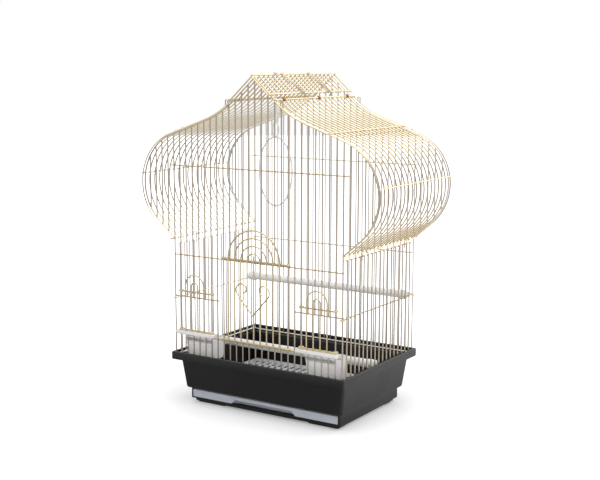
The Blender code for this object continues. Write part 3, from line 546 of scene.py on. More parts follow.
BAR = 0.0021
BORDER = 0.0025
LOOP = 0.0017
LAYER = 0.0017
BEAD = 0.0012
WIRE_END = 0.0008
FRONT_GAPS = 26
FRONT_PITCH = 0.01104
SIDE_GAPS = 18
SIDE_PITCH = 0.0115
BODY_X = FRONT_GAPS * FRONT_PITCH / 2
BODY_Y = SIDE_GAPS * SIDE_PITCH / 2
BOTTOM_Z = 0.0743
SILL_Z = 0.1085
MIDDLE_Z = 0.1655
LINTEL_Z = 0.2275
ROOF_WIRE_Z = 0.359
ROOF_WIRE_X = BODY_X + 0.0065
BULGE_BARS = 4
FEEDER_POSTS = (1, 6)
DOOR_POSTS = (8, 18)
FOOT_Z = 0.251
BULGE_RADIUS = 0.0758
BULGE_REACH = 0.1984
BULGE_START = radians(-50)
BULGE_END = radians(70.5)
NECK_RADIUS = 0.14
RIDGE_Z = 0.4875
RIDGE_SLOPE = radians(42)
LOOP_TURN = radians(250)
LOOP_OUT = 0.0024
LOOP_FOOT = 0.0025
LOOP_TAIL = 0.01
LOOP_RISE = 0.0058
LOOP_BEND = 0.002
NECK_BAR = 9


def build_drawn_plating():
    """Thin plating on drawn wire: two tones, fine lines from the die, painted shade on the upright wires
    for the darker surround that they mirror, and painted shade on the spot welds."""
    tree, given, patches, normal = started_skin(
        "drawn_plating", ("Colour", "Second colour", "Upright shade colour", "Weld shade colour"), "Line", 4.0)
    upright, weld = [place(tree, "ShaderNodeAttribute", attribute_name=mark).outputs["Fac"]
                     for mark in ("upright", "weld")]
    tones = blended(tree, patches, given["Colour"], given["Second colour"])
    # Painted shade: the more upright a wire runs, the more it takes the darker upright colour, standing
    # for the dark surround that it mirrors.
    upright_share = ranged(tree, upright, low=0.6, high=0.98)
    upright_shaded = blended(tree, upright_share, tones, given["Upright shade colour"])
    # Painted shade: the weld beads take the darker weld colour, standing for the shade where two wires
    # cross.
    weld_shaded = blended(tree, weld, upright_shaded, given["Weld shade colour"])
    return finished_skin(tree, given, weld_shaded, patches, normal)


drawn_plating = build_drawn_plating()


# upright is the colour of the painted shade on upright wires; weld is the colour of the painted shade at
# the welds.
def plated(name, colour, second, upright, weld, patch=0.035, roughness=0.24, spread=0.16,
           line=0.0007, depth=0.00002):
    """The material of a plated wire."""
    tones = [(*tone, 1.0) for tone in (colour, second, upright, weld)]
    numbers = (*tones, patch, roughness, spread, line, depth)
    return skinned(name, drawn_plating, numbers, Metallic=1.0)


gold_wire = plated(
    "pale_gold_plating", (0.83, 0.69, 0.45), (0.76, 0.61, 0.37),
    upright=(0.5, 0.43, 0.34), weld=(0.56, 0.47, 0.31))


def fit_wires(name, meshes, node, plating=gold_wire, body="cage"):
    """Join wires into one plated piece."""
    fit(name, meshes, plating, body, node)


def build_wire_row():
    """Round wires along centre lines, set out at even spacing; each point has its thickness."""
    tree, given = group_with("wire_row", "GeometryNodeTree", {
        "Geometry": ("Centre lines",),
        "Vector": ("First place", "Spacing"),
        "Int": ("Count", "Sides"),
        "Material": ("Finish",),
    }, {"Geometry": ("Wires",)})
    lines = result(tree, "GeometryNodeMeshToCurve", {"Mesh": given["Centre lines"]})
    # How upright each wire runs is kept here, for the painted shade on upright wires.
    run = place(tree, "ShaderNodeSeparateXYZ", {0: result(tree, "GeometryNodeInputTangent")})
    upright = sums(tree, "ABSOLUTE", run.outputs["Z"])
    lines = result(tree, "GeometryNodeStoreNamedAttribute",
                   {"Geometry": lines, "Name": "upright", "Value": upright},
                   data_type="FLOAT", domain="POINT")
    thick = result(tree, "GeometryNodeInputNamedAttribute", {"Name": "thickness"}, data_type="FLOAT")
    section = result(tree, "GeometryNodeCurvePrimitiveCircle",
                     {"Resolution": given["Sides"], "Radius": 1.0}, mode="RADIUS")
    tube = result(tree, "GeometryNodeCurveToMesh", {
        "Curve": lines,
        "Profile Curve": section,
        "Scale": sums(tree, "MULTIPLY", thick, 0.5),
        "Fill Caps": True,
    })
    places = result(tree, "GeometryNodeMeshLine", {
        "Count": given["Count"],
        "Start Location": given["First place"],
        "Offset": given["Spacing"],
    }, mode="OFFSET")
    return hand_out(tree, laid_out(tree, places, tube), given["Finish"], "Wires")


def build_weld_row():
    """A small bead of metal at each crossing, marked so that painted shade goes on it."""
    tree, given = group_with("weld_beads", "GeometryNodeTree", {
        "Geometry": ("Crossings",),
        "Float": ("Bead size",),
        "Material": ("Finish",),
    }, {"Geometry": ("Beads",)})
    bead = result(tree, "GeometryNodeMeshIcoSphere", {"Radius": given["Bead size"], "Subdivisions": 1})
    marked = result(tree, "GeometryNodeStoreNamedAttribute",
                    {"Geometry": bead, "Name": "weld", "Value": 1.0}, data_type="FLOAT", domain="POINT")
    return hand_out(tree, laid_out(tree, given["Crossings"], marked), given["Finish"], "Beads")


wire_row = build_wire_row()
weld_row = build_weld_row()


def drawn(runs, material=gold_wire, first=(0, 0, 0), spacing=(0, 0, 0), count=1, sides=10):
    """Round wires from runs of (points, thickness), with True after them if the run is closed."""
    mesh = bmesh.new()
    layer = mesh.verts.layers.float.new("thickness")
    for points, thickness, *closed in runs:
        verts = [mesh.verts.new(point) for point in points]
        for vert in verts:
            vert[layer] = thickness
        for pair in zip(verts, shifted(verts) if closed else verts[1:]):
            mesh.edges.new(pair)
    return grown("wires", mesh, wire_row, {
        "First place": first,
        "Spacing": spacing,
        "Count": count,
        "Sides": sides,
        "Finish": material,
    })


def beads(points):
    """Weld beads at a list of places."""
    mesh = bmesh.new()
    for point in points:
        mesh.verts.new(point)
    return grown("beads", mesh, weld_row, {"Bead size": BEAD, "Finish": gold_wire})


def arc(centre, radius, start, end, steps):
    """Points on an arc in a plane."""
    turns = [start + (end - start) * step / steps for step in range(steps + 1)]
    return [(centre[0] + radius * cos(t), centre[1] + radius * sin(t)) for t in turns]


def circle(centre, radius, steps):
    """Points round a circle in a plane."""
    return arc(centre, radius, 0, 2 * pi, steps)[:-1]


def crossing(points, axis, value):
    """The last place where a line of points passes a value on one axis."""
    found = None
    for first, second in zip(points, points[1:]):
        if (first[axis] - value) * (second[axis] - value) <= 0 and first[axis] != second[axis]:
            share = (value - first[axis]) / (second[axis] - first[axis])
            found = first.lerp(second, share)
    return found


def onion(offset=0.0, foot=0.0, top_x=0.0):
    """Right half of the roof's outline, from its foot to the ridge or to top_x short of it."""
    centre = Vector((BULGE_REACH - BULGE_RADIUS, 0.0))
    foot_run = Vector((-sin(BULGE_START), cos(BULGE_START)))
    foot_normal = Vector((cos(BULGE_START), sin(BULGE_START)))
    start_x = centre.x + BULGE_RADIUS * foot_normal.x
    start_z = FOOT_Z + (start_x - BODY_X) * foot_run.y / foot_run.x
    centre.y = start_z - BULGE_RADIUS * foot_normal.y
    slope = pi / 2 - BULGE_END
    leave = centre + BULGE_RADIUS * Vector((cos(BULGE_END), sin(BULGE_END)))
    steep = tan(RIDGE_SLOPE)
    gentle = tan(slope)
    meet_x = (RIDGE_Z - leave.y - gentle * leave.x) / (steep - gentle)
    meet = Vector((meet_x, RIDGE_Z - steep * meet_x))
    reach = NECK_RADIUS * tan((RIDGE_SLOPE - slope) / 2)
    neck = meet + reach * Vector((cos(slope), -sin(slope)))
    neck += NECK_RADIUS * Vector((sin(slope), cos(slope)))
    down = -pi / 2
    bulge = arc(centre, BULGE_RADIUS + offset, BULGE_START, BULGE_END, 28)
    bend = arc(neck, NECK_RADIUS - offset, down - slope, down - RIDGE_SLOPE, 8)
    points = [Vector((BODY_X, FOOT_Z)) + foot * foot_run + offset * foot_normal]
    points += [Vector(point) for point in bulge + bend]
    points.append(Vector((0.0, RIDGE_Z + offset / cos(RIDGE_SLOPE))))
    if top_x:
        kept = [point for point in points if point.x > top_x]
        points = kept + [crossing(points, 0, top_x)]
    return points


def border_height(x, upper=True):
    """Height of a panel's border over a place along the front, above or below the bulge."""
    points = onion()
    if not upper:
        points.reverse()
    return crossing(points, 0, abs(x)).y


def bar_x(index):
    """Place of an upright bar, counted from the left corner."""
    return -BODY_X + index * FRONT_PITCH


def bar_y(index):
    """Place of a side bar or a roof wire, counted from the front corner."""
    return -BODY_Y + index * SIDE_PITCH


def panel_wires(y, openings, spans):
    """All the wires of a front or rear panel, and a bead wherever two of them are welded."""
    inner = y - copysign(LAYER, y)
    weld_y = (y + inner) / 2
    uprights = []
    welds = []
    for index in range(-BULGE_BARS, FRONT_GAPS + BULGE_BARS + 1):
        x = bar_x(index)
        top = border_height(x)
        if 0 <= index <= FRONT_GAPS:
            cuts = [(low, high) for first, last, low, high in openings if first < index < last]
            heights = [BOTTOM_Z] + [z for cut in sorted(cuts) for z in cut] + [top]
        else:
            heights = [border_height(x, upper=False), top]
        for low, high in zip(heights[::2], heights[1::2]):
            uprights.append(([(x, y, low), (x, y, high)], BAR))
            welds += [(x, y, low), (x, y, high)]
            for z, start, end in spans:
                if low - 0.001 < z < high + 0.001 and start < x < end:
                    welds.append((x, weld_y, z))
    outline = [(point.x, y, point.y) for point in onion()]
    outline += [(-x, py, z) for x, py, z in reversed(outline[:-1])]
    half = BODY_X + BAR / 2
    border = [(outline, BORDER), ([(-half, y, BOTTOM_Z), (half, y, BOTTOM_Z)], BORDER)]
    cross = [([(start, inner, z), (end, inner, z)], BAR) for z, start, end in spans]
    return [drawn(uprights + border + cross), beads(welds), drawn(panel_loops(y))]


def panel_loops(y):
    """The two wires near the neck that rise above the border and turn down in front of it."""
    out = y + copysign(LOOP_OUT, y)
    x = bar_x(NECK_BAR)
    low = border_height(x)
    foot = low - LOOP_FOOT
    turns = arc((x - LOOP_BEND, low + LOOP_RISE), LOOP_BEND, 0, pi, 12)
    left = [(x, y, low - LOOP_TAIL), (x, out, foot)] + [(px, out, pz) for px, pz in turns]
    left.append((x - 2 * LOOP_BEND, out, foot))
    return [(left, LOOP), ([(-px, py, pz) for px, py, pz in left], LOOP)]


panel_half = BODY_X + BAR / 2
beside_door = bar_x(FEEDER_POSTS[1] + 1) + WIRE_END
front_openings = (
    (*FEEDER_POSTS, SILL_Z, MIDDLE_Z),
    (FRONT_GAPS - FEEDER_POSTS[1], FRONT_GAPS - FEEDER_POSTS[0], SILL_Z, MIDDLE_Z),
    (*DOOR_POSTS, SILL_Z, LINTEL_Z),
)
front_spans = (
    (SILL_Z, -panel_half, panel_half),
    (MIDDLE_Z, -panel_half, beside_door),
    (MIDDLE_Z, -beside_door, panel_half),
    (LINTEL_Z, -panel_half, panel_half),
    (ROOF_WIRE_Z, -ROOF_WIRE_X, ROOF_WIRE_X),
)
fit_wires("front_panel_wires", panel_wires(-BODY_Y, front_openings, front_spans), "front_panel")


# Rear panel. The same outline and bars as the front, with no openings and no sill wire. Its wires, like
# those of the left side, take a paler copy of the plating: painted light on the cage's far side.

pale_wire = plated(
    "paler_gold_painted_light", (0.98, 0.93, 0.84), (0.94, 0.88, 0.78),
    upright=(0.7, 0.665, 0.645), weld=(0.7, 0.64, 0.54))
rear_spans = (
    (MIDDLE_Z, -panel_half, panel_half),
    (LINTEL_Z, -panel_half, panel_half),
    (ROOF_WIRE_Z, -ROOF_WIRE_X, ROOF_WIRE_X),
)
fit_wires("rear_panel_wires", panel_wires(BODY_Y, (), rear_spans), "rear_panel", pale_wire)


# Side panels. Upright bars outside three cross wires; the middle wire curls round the corner bars
# of the front and rear panels, and two hooks at the top hold the foot of the roof.

SIDE_BOTTOM_Z = 0.077
SIDE_MIDDLE_Z = 0.163
SIDE_TOP_Z = 0.2436
EYE_RADIUS = 0.0028
SHEET_OFFSET = 0.0024
SHEET_FOOT = 0.0025
HOOK_PLACES = (4.5, 15.5)
HOOK_TAIL = 0.006
HOOK_END = radians(-25)
CROSS_INSET = 0.0025


def side_row(path):
    """One wire laid out at every place between the front and rear corners."""
    return drawn([(path, BAR)], first=(0, bar_y(1), 0), spacing=(0, SIDE_PITCH, 0), count=SIDE_GAPS - 1)


# The left side takes the paler copy of the plating, painted light on the cage's far side.
for side, word, plating in ((-1, "left", pale_wire), (1, "right", gold_wire)):
    x = side * BODY_X
    inner = side * (BODY_X - LAYER)
    bars = side_row([(x, 0, BOTTOM_Z - 0.0013), (x, 0, SIDE_TOP_Z + WIRE_END)])
    reach = BODY_Y - CROSS_INSET
    cross = [([(inner, -reach, z), (inner, reach, z)], BAR)
             for z in (SIDE_BOTTOM_Z, SIDE_TOP_Z)]
    curl = arc((0, 0), EYE_RADIUS, pi, pi + LOOP_TURN, 16)
    front = [(x + side * px, -BODY_Y + py, SIDE_MIDDLE_Z) for px, py in curl]
    rear = [(px, -py, pz) for px, py, pz in front]
    straight = [(inner, -BODY_Y + SIDE_PITCH / 2, SIDE_MIDDLE_Z),
                (inner, BODY_Y - SIDE_PITCH / 2, SIDE_MIDDLE_Z)]
    cross.append((front[::-1] + straight + rear, BAR))
    foot = onion(SHEET_OFFSET, SHEET_FOOT)[0]
    for spot in HOOK_PLACES:
        y = bar_y(spot)
        turns = arc(foot, foot.x - BODY_X, pi, HOOK_END, 14)
        hook = [(x, y, SIDE_TOP_Z - HOOK_TAIL)] + [(side * px, y, pz) for px, pz in turns]
        cross.append((hook, LOOP))
    welds = [((x + inner) / 2, bar_y(index), z) for index in range(1, SIDE_GAPS)
             for z in (SIDE_BOTTOM_Z, SIDE_MIDDLE_Z, SIDE_TOP_Z)]
    fit_wires(f"{word}_side_wires", (bars, drawn(cross), beads(welds)), f"{word}_side_panel", plating)


# Roof sheets. Bent wires side by side under four cross wires, which lie on the panels' borders and reach
# past them to one more bent wire in front and behind. The left one takes a paler copy of the plating,
# painted light.

# A paler copy of the plating for the left roof sheet: painted light.
roof_wire = plated(
    "pale_roof_plating", (0.98, 0.9, 0.76), (0.95, 0.86, 0.7),
    upright=(0.5, 0.45, 0.41), weld=(0.7, 0.61, 0.46))
SHEET_Y = BODY_Y + 0.0048
SHEET_BULGE_Z = 0.345
SHEET_NECK_X = 0.123
LEFT_SHEET_TOP_X = 0.0405
RIGHT_SHEET_TOP_X = 0.0368


def roof_row(path, end_y):
    """One bent wire laid out over the whole depth of the roof, with the two overhanging ones."""
    ends = [([(px, py + y, pz) for px, py, pz in path], BAR) for y in (-end_y, end_y)]
    return side_row(path), drawn(ends)


def lengthwise(places, end_y):
    """Cross wires along the roof, at places across it."""
    far = end_y + WIRE_END
    return drawn([([(x, -far, z), (x, far, z)], BAR) for x, z in places])


def roof_welds(places, end_y):
    """Weld beads where a roof's cross wires meet its bent wires."""
    depths = [-end_y] + [bar_y(index) for index in range(1, SIDE_GAPS)] + [end_y]
    return beads([(x, y, z) for x, z in places for y in depths])


for side, word, top_x, plating in (
    (-1, "left", LEFT_SHEET_TOP_X, roof_wire),
    (1, "right", RIGHT_SHEET_TOP_X, gold_wire),
):
    inner = onion(SHEET_OFFSET - LAYER, SHEET_FOOT - WIRE_END, top_x - WIRE_END)
    outer = onion(SHEET_OFFSET, SHEET_FOOT)
    lines = [outer[0], crossing(outer, 1, SHEET_BULGE_Z), crossing(outer, 0, SHEET_NECK_X),
             crossing(outer, 0, top_x)]
    cross = lengthwise([(side * line.x, line.y) for line in lines], SHEET_Y)
    under = [min(inner, key=lambda point: (point - line).length) for line in lines]
    places = [(side * (line.x + low.x) / 2, (line.y + low.y) / 2) for line, low in zip(lines, under)]
    bent = roof_row([(side * point.x, 0, point.y) for point in inner], SHEET_Y)
    fit_wires(f"{word}_roof_wires", (*bent, cross, roof_welds(places, SHEET_Y)),
              f"{word}_roof_sheet", plating)


# Roof cap. A folded row of wires over the ridge, with one cross wire along each edge and one on
# top. Its right edge stops short of the right sheet and leaves a long gap.

CAP_Y = BODY_Y + 0.0076
CAP_LEFT_X = 0.0366
CAP_RIGHT_X = 0.027
RIDGE_WIRE_Z = 0.49065


def on_slope(x, y, offset):
    """A point beside the ridge on the right-hand slope, raised off it by offset."""
    return (x + offset * sin(RIDGE_SLOPE), y,
            RIDGE_Z - x * tan(RIDGE_SLOPE) + offset * cos(RIDGE_SLOPE))


raised = SHEET_OFFSET - LAYER
left_end = on_slope(CAP_LEFT_X + WIRE_END, 0, raised)
right_end = on_slope(CAP_RIGHT_X + WIRE_END, 0, raised)
fold = RIDGE_Z + raised / cos(RIDGE_SLOPE)
fold_line = [(-left_end[0], 0, left_end[2]), (-0.0022, 0, fold - 0.0017), (-0.001, 0, fold - 0.0006),
             (0, 0, fold - 0.0002), (0.001, 0, fold - 0.0006), (0.0022, 0, fold - 0.0017), right_end]
left_edge = on_slope(CAP_LEFT_X, 0, SHEET_OFFSET)
right_edge = on_slope(CAP_RIGHT_X, 0, SHEET_OFFSET)
cap_lines = [(-left_edge[0], left_edge[2]), (0, RIDGE_WIRE_Z), (right_edge[0], right_edge[2])]
cap_welds = roof_welds([(x, z - 0.0008) for x, z in cap_lines], CAP_Y)
fit_wires("roof_cap_wires", (*roof_row(fold_line, CAP_Y), lengthwise(cap_lines, CAP_Y), cap_welds),
          "roof_cap")


# Ridge hooks. Two doubled wires that lie down the cap's right slope and turn in under its edge.

HOOK_OFFSET = SHEET_OFFSET + 0.0025
HOOK_LOW = CAP_RIGHT_X + 0.0045
HOOK_HALF = 0.0014
HOOK_LEAN = 0.011

for number, spot in enumerate((5.75, 11.9), 1):
    top_y = bar_y(spot)
    low_y = top_y + HOOK_LEAN
    down_run = []
    for sign in (-1, 1):
        near = HOOK_HALF * sign
        half_run = [
            on_slope(HOOK_LOW, low_y + near, 0),
            on_slope(HOOK_LOW + 0.0003, low_y + near, HOOK_OFFSET * 0.6),
            on_slope(HOOK_LOW - 0.001, low_y + near, HOOK_OFFSET),
            on_slope(-0.0015, top_y + near, HOOK_OFFSET),
            on_slope(-0.0023, top_y + near * 0.6, HOOK_OFFSET),
        ]
        down_run += half_run if sign < 0 else half_run[::-1]
    fit_wires(f"ridge_hook_wire_{number}", (drawn([(down_run, LOOP)]),), f"ridge_hook_{number}")


# Clips. Short wires wound twice round the roof's top wires: three brown ones on the right sheet,
# and three slim gold ones that tie the cap's left edge to the left sheet.

brown_wire = plated(
    "brown_clip_wire", (0.42, 0.225, 0.09), (0.52, 0.3, 0.13),
    upright=(0.4, 0.22, 0.09), weld=(0.42, 0.225, 0.09),
    patch=0.006, roughness=0.38, spread=0.2, line=0.0006, depth=0.00003)

BROWN_CLIP = (0.0018, 0.0016)
GOLD_CLIP = (0.0015, 0.001)
sheet_line = onion(SHEET_OFFSET, SHEET_FOOT)
left_top = crossing(sheet_line, 0, LEFT_SHEET_TOP_X)
right_top = crossing(sheet_line, 0, RIGHT_SHEET_TOP_X)


def clip_turns(first_end, second_end, y, reach, thickness, material):
    """Two turns of wire round two places on a slope."""
    lean = atan2(first_end[1] - second_end[1], first_end[0] - second_end[0])
    outline = arc(first_end, reach, lean - pi / 2, lean + pi / 2, 8)
    outline += arc(second_end, reach, lean + pi / 2, lean + pi * 1.5, 8)
    count = 2 * len(outline)
    coil = [(*outline[step % len(outline)], y + thickness * (step / count - 0.5) * 1.4)
            for step in range(count)]
    return drawn([([(px, py, pz) for px, pz, py in coil], thickness)], material, sides=8)


for number, spot in enumerate((1.5, 9.5, 16.5), 1):
    y = bar_y(spot)
    run = Vector((cos(RIDGE_SLOPE), -sin(RIDGE_SLOPE))) * 0.0005
    brown_turns = clip_turns(right_top + run, right_top - run, y, *BROWN_CLIP, brown_wire)
    fit(f"sheet_clip_wire_{number}", (brown_turns,), brown_wire, "cage",
        f"sheet_clip_{number}")
    ends = ((-left_edge[0], left_edge[2]), (-left_top.x, left_top.y))
    gold_turns = clip_turns(*ends, y, *GOLD_CLIP, gold_wire)
    fit_wires(f"cap_clip_wire_{number}", (gold_turns,), f"cap_clip_{number}")


# Main door. Four nested arches and a middle bar in front of two rails, whose ends are bent into
# eyes round the posts of the doorway. The door lifts on them.

door_wire = plated(
    "bright_gold_plating", (0.83, 0.7, 0.43), (0.76, 0.62, 0.35),
    upright=(0.64, 0.54, 0.36), weld=(0.6, 0.47, 0.25),
    roughness=0.22, spread=0.14)

DOOR_Y = -BODY_Y - EYE_RADIUS - LAYER
DOOR_FRAME = 0.0025
DOOR_RAIL = 0.0028
door_middle = (bar_x(DOOR_POSTS[0]) + bar_x(DOOR_POSTS[1])) / 2
door_half = (DOOR_POSTS[1] - DOOR_POSTS[0]) * FRONT_PITCH / 2
door_low = SILL_Z + 0.0025
door_top = LINTEL_Z + 0.003


def rail(centre, half, z):
    """A door's cross wire with an eye round the post at each end."""
    eye = arc((half, 0), EYE_RADIUS, -pi / 2, LOOP_TURN - pi / 2, 16)
    right = [(centre + px, -BODY_Y + py, z) for px, py in eye]
    left = [(centre - px, -BODY_Y + py, z) for px, py in eye]
    return (left[::-1] + right, DOOR_RAIL)


def arch(centre, radius, low, springing, thickness):
    """Two door bars joined by a half circle on top."""
    turns = arc((centre, springing), radius, pi, 0, 20)
    path = [(centre - radius, DOOR_Y, low)] + [(px, DOOR_Y, pz) for px, pz in turns]
    return (path + [(centre + radius, DOOR_Y, low)], thickness)


def door_parts(centre, half, low, top, springing, *arches):
    """A door's rails, its arches of some radius and thickness, and a bead at each crossing."""
    runs = [rail(centre, half, low), rail(centre, half, top)]
    runs += [arch(centre, radius, low - WIRE_END, springing, thickness) for radius, thickness in arches]
    welds = [(centre + sign * radius, DOOR_Y + LAYER / 2, z)
             for radius, _ in arches for sign in (-1, 1) for z in (low, top)]
    return runs, welds


door_runs, door_welds = door_parts(
    door_middle, door_half, door_low, door_top, door_top, (FRONT_PITCH, BAR), (2 * FRONT_PITCH, BAR),
    (3 * FRONT_PITCH, BAR), (4 * FRONT_PITCH, DOOR_FRAME))
middle_bar = [(door_middle, DOOR_Y, z) for z in (door_low - WIRE_END, door_top + 0.008)]
door_runs.append((middle_bar, BAR))
door_welds += [(door_middle, DOOR_Y + LAYER / 2, z) for z in (door_low, door_top)]
fit_wires("main_door_wires", (drawn(door_runs), beads(door_welds)), "main_door", door_wire, "door")


# Heart. One wire on the front of the main door, bent to a point below and curled in at both ends.

HEART_POINT_Z = 0.153
HEART_LOBE = Vector((0.019, 0.035))
HEART_RADIUS = 0.0095
HEART_CURL = 0.005
HEART_TURN = radians(140)
CURL_TURN = radians(85)

heart_y = DOOR_Y - 0.0025
lean = atan2(HEART_LOBE.y, HEART_LOBE.x) - asin(HEART_RADIUS / HEART_LOBE.length)
half_heart = arc(HEART_LOBE, HEART_RADIUS, lean - pi / 2, HEART_TURN, 24)
for step in range(1, 11):
    share = step / 10
    turn = HEART_TURN + CURL_TURN * share
    reach = HEART_RADIUS + share * (HEART_CURL - HEART_RADIUS)
    half_heart.append((HEART_LOBE.x + reach * cos(turn), HEART_LOBE.y + reach * sin(turn)))
right_half = [(px, heart_y, HEART_POINT_Z + pz) for px, pz in half_heart]
left_half = [(-px, py, pz) for px, py, pz in reversed(right_half)]
tip = [(-0.0012, heart_y, HEART_POINT_Z + 0.0012), (0, heart_y, HEART_POINT_Z + 0.0002),
       (0.0012, heart_y, HEART_POINT_Z + 0.0012)]
fit_wires("door_heart_wire", (drawn([(left_half + tip + right_half, BAR)]),), "door_heart", door_wire,
          "door")


# Feeder doors. Small doors over the cups, each of two nested arches on two rails with eyes.

FEEDER_SPAN = (FEEDER_POSTS[1] - FEEDER_POSTS[0]) * FRONT_PITCH
FEEDER_X = BODY_X - (FEEDER_POSTS[0] + FEEDER_POSTS[1]) / 2 * FRONT_PITCH
feeder_low = 0.117
feeder_top = MIDDLE_Z + 0.009

for side, word in ((-1, "left"), (1, "right")):
    runs, welds = door_parts(
        side * FEEDER_X, FEEDER_SPAN / 2, feeder_low, feeder_top, feeder_top + 0.009,
        (0.5 * FRONT_PITCH, BAR), (1.5 * FRONT_PITCH, BAR))
    fit_wires(f"{word}_feeder_door_wires", (drawn(runs), beads(welds)), f"{word}_feeder_door",
              door_wire, f"feeder_door_{word}")


# Feeder cups. Thin-walled boxes of off-white plastic that hang behind the bars: a thick rounded
# lip at the top front goes out over the sill wire. The rear wall slopes, the sides hardly do.

CUP_TOP = 0.104
CUP_BOTTOM = 0.073
CUP_FRONT = -0.1004
CUP_REAR = -0.0624
CUP_HALF = 0.0255
CUP_WALL = 0.0018
LIP_LOW = 0.1099
LIP_HIGH = 0.1156
LIP_TIP = -0.11
LIP_HALF = 0.0346
FRONT_SLOPE = 0.0065
REAR_SLOPE = 0.007
SIDE_SLOPE = 0.0012
EAR_MIDDLE = 0.031
EAR_HALF = 0.0055

cup_plastic = moulded(
    "off_white_moulding", (0.805, 0.8, 0.815), (0.855, 0.85, 0.86),
    patch=0.03, roughness=0.26, spread=0.1, pebble=0.001, depth=0.00001,
    Subsurface_Weight=0.6, Subsurface_Radius=(1.0, 1.0, 1.0), Subsurface_Scale=0.03)


def cup_station(z, inset, reach):
    """The cup's outline at a height, drawn in by inset."""
    share = (CUP_TOP - z) / (CUP_TOP - CUP_BOTTOM)
    low = CUP_FRONT + share * FRONT_SLOPE + inset
    high = CUP_REAR - share * REAR_SLOPE - inset
    wide = CUP_HALF - share * SIDE_SLOPE - inset
    return (wide, (high - low) / 2, (low + high) / 2, 0.004 - inset, z, reach)


for side, word in ((-1, "left"), (1, "right")):
    centre = side * FEEDER_X
    wall = eased((
        cup_station(CUP_BOTTOM, 0.0022, 0.0),
        cup_station(CUP_BOTTOM, 0.0, 0.0016),
        cup_station(CUP_TOP, 0.0, 0.0007),
        cup_station(CUP_TOP, CUP_WALL, 0.0007),
        cup_station(CUP_BOTTOM + CUP_WALL, CUP_WALL, 0.0016),
        cup_station(CUP_BOTTOM + CUP_WALL, 0.0036, 0.0),
    ))
    cup = carved("cup", lofted(wall, centre))
    lip_rear = CUP_FRONT + 0.0016
    neck = ((CUP_FRONT, 0.099), (CUP_FRONT, LIP_LOW + 0.001), (CUP_FRONT, LIP_HIGH - 0.001),
            (lip_rear, LIP_HIGH - 0.001), (lip_rear, 0.099))
    tab = CUP_HALF - 0.002
    collar = carved("collar", skin_rings([[(centre + x, y, z) for y, z in neck] for x in (-tab, tab)]),
                    edge=0.0005)
    tip_line = eased(((LIP_TIP, LIP_LOW, 0.0016), (LIP_TIP, LIP_HIGH, 0.0024),
                      (lip_rear, LIP_HIGH, 0.001), (lip_rear, LIP_LOW, 0.0003)), steps=5)
    middle_y = (LIP_TIP + CUP_FRONT) / 2
    middle_z = (LIP_LOW + LIP_HIGH) / 2
    lip_rings = []
    for x, shrink in ((-LIP_HALF, 0.0012), (-LIP_HALF + 0.0004, 0.0005), (-LIP_HALF + 0.0013, 0.0),
                      (LIP_HALF - 0.0013, 0.0), (LIP_HALF - 0.0004, 0.0005), (LIP_HALF, 0.0012)):
        scale_y = 1 - shrink / 0.0056
        scale_z = 1 - shrink / 0.0029
        lip_rings.append([(centre + x, middle_y + (y - middle_y) * scale_y,
                           middle_z + (z - middle_z) * scale_z) for y, z in tip_line])
    ears = [centre + sign * EAR_MIDDLE for sign in (-1, 1)]
    ear_cut = [block((ear - EAR_HALF, -0.1057, 0.105), (ear + EAR_HALF, -0.095, 0.12))
               for ear in ears]
    lip = carved("lip", skin_rings(lip_rings), cuts=ear_cut)
    fit(f"{word}_cup_moulding", (cup, collar, lip), cup_plastic, "cage",
        f"{word}_feeder_cup")


# Perches. Round bars of white plastic; the cap at each end is slotted to sit on a side panel's
# cross wire, and holds the bar.

perch_plastic = moulded(
    "white_moulding", (0.88, 0.87, 0.85), (0.92, 0.915, 0.9),
    patch=0.02, roughness=0.32, spread=0.12, pebble=0.0012, depth=0.00004)


def turned(stations, y, z, sides=28):
    """A round bar along X through stations of place and radius."""
    return skin_rings([[(x, py, pz) for py, pz in circle((y, z), radius, sides)]
                       for x, radius in stations])


PERCH_END = BODY_X - 0.0014
PERCH_JOINT = PERCH_END - 0.013
PERCH_ROUND = 0.0006
GROOVES = 6
GROOVE_INSET = 0.012
GROOVE_HALF = 0.0006
GROOVE_DEPTH = 0.0001

for word, spot, z, bar_radius, cap_radius, wire_z in (
    ("upper", 16.5, SIDE_MIDDLE_Z + 0.003, 0.0056, 0.007, SIDE_MIDDLE_Z),
    ("lower", 8.5, 0.0797, 0.006, 0.0067, SIDE_BOTTOM_Z),
):
    y = bar_y(spot)
    stop = PERCH_JOINT - 0.0003
    bar_line = [(-stop, bar_radius - PERCH_ROUND), (-stop + PERCH_ROUND, bar_radius)]
    for groove in range(GROOVES):
        at = -stop + GROOVE_INSET + groove * 2 * (stop - GROOVE_INSET) / (GROOVES - 1)
        bar_line += [(at - GROOVE_HALF, bar_radius), (at, bar_radius - GROOVE_DEPTH),
                     (at + GROOVE_HALF, bar_radius)]
    bar_line += [(stop - PERCH_ROUND, bar_radius), (stop, bar_radius - PERCH_ROUND)]
    fit(f"{word}_perch_bar", (carved("perch", turned(bar_line, y, z)),), perch_plastic, "cage",
        f"{word}_perch")
    for side, hand in ((-1, "left"), (1, "right")):
        cap_line = [(side * place_x, radius) for place_x, radius in (
            (PERCH_JOINT, cap_radius - 0.0005),
            (PERCH_JOINT + 0.0005, cap_radius),
            (PERCH_END - 0.0014, cap_radius),
            (PERCH_END - 0.0004, cap_radius - 0.0005),
            (PERCH_END, cap_radius - 0.0014),
        )]
        slot_x = sorted((side * (PERCH_END - 0.002), side * (PERCH_END + 0.002)))
        slot = block((slot_x[0], y - 0.014, wire_z - 0.0014), (slot_x[1], y + 0.014, wire_z + 0.0014))
        fit(f"{word}_perch_end_{hand}", (carved("cap", turned(cap_line, y, z), cuts=(slot,)),),
            perch_plastic, "cage", f"{word}_perch_cap_{hand}")


# Swing. A ring of milky plastic rod under a small neck ring; its stem hooks over the ridge wire.

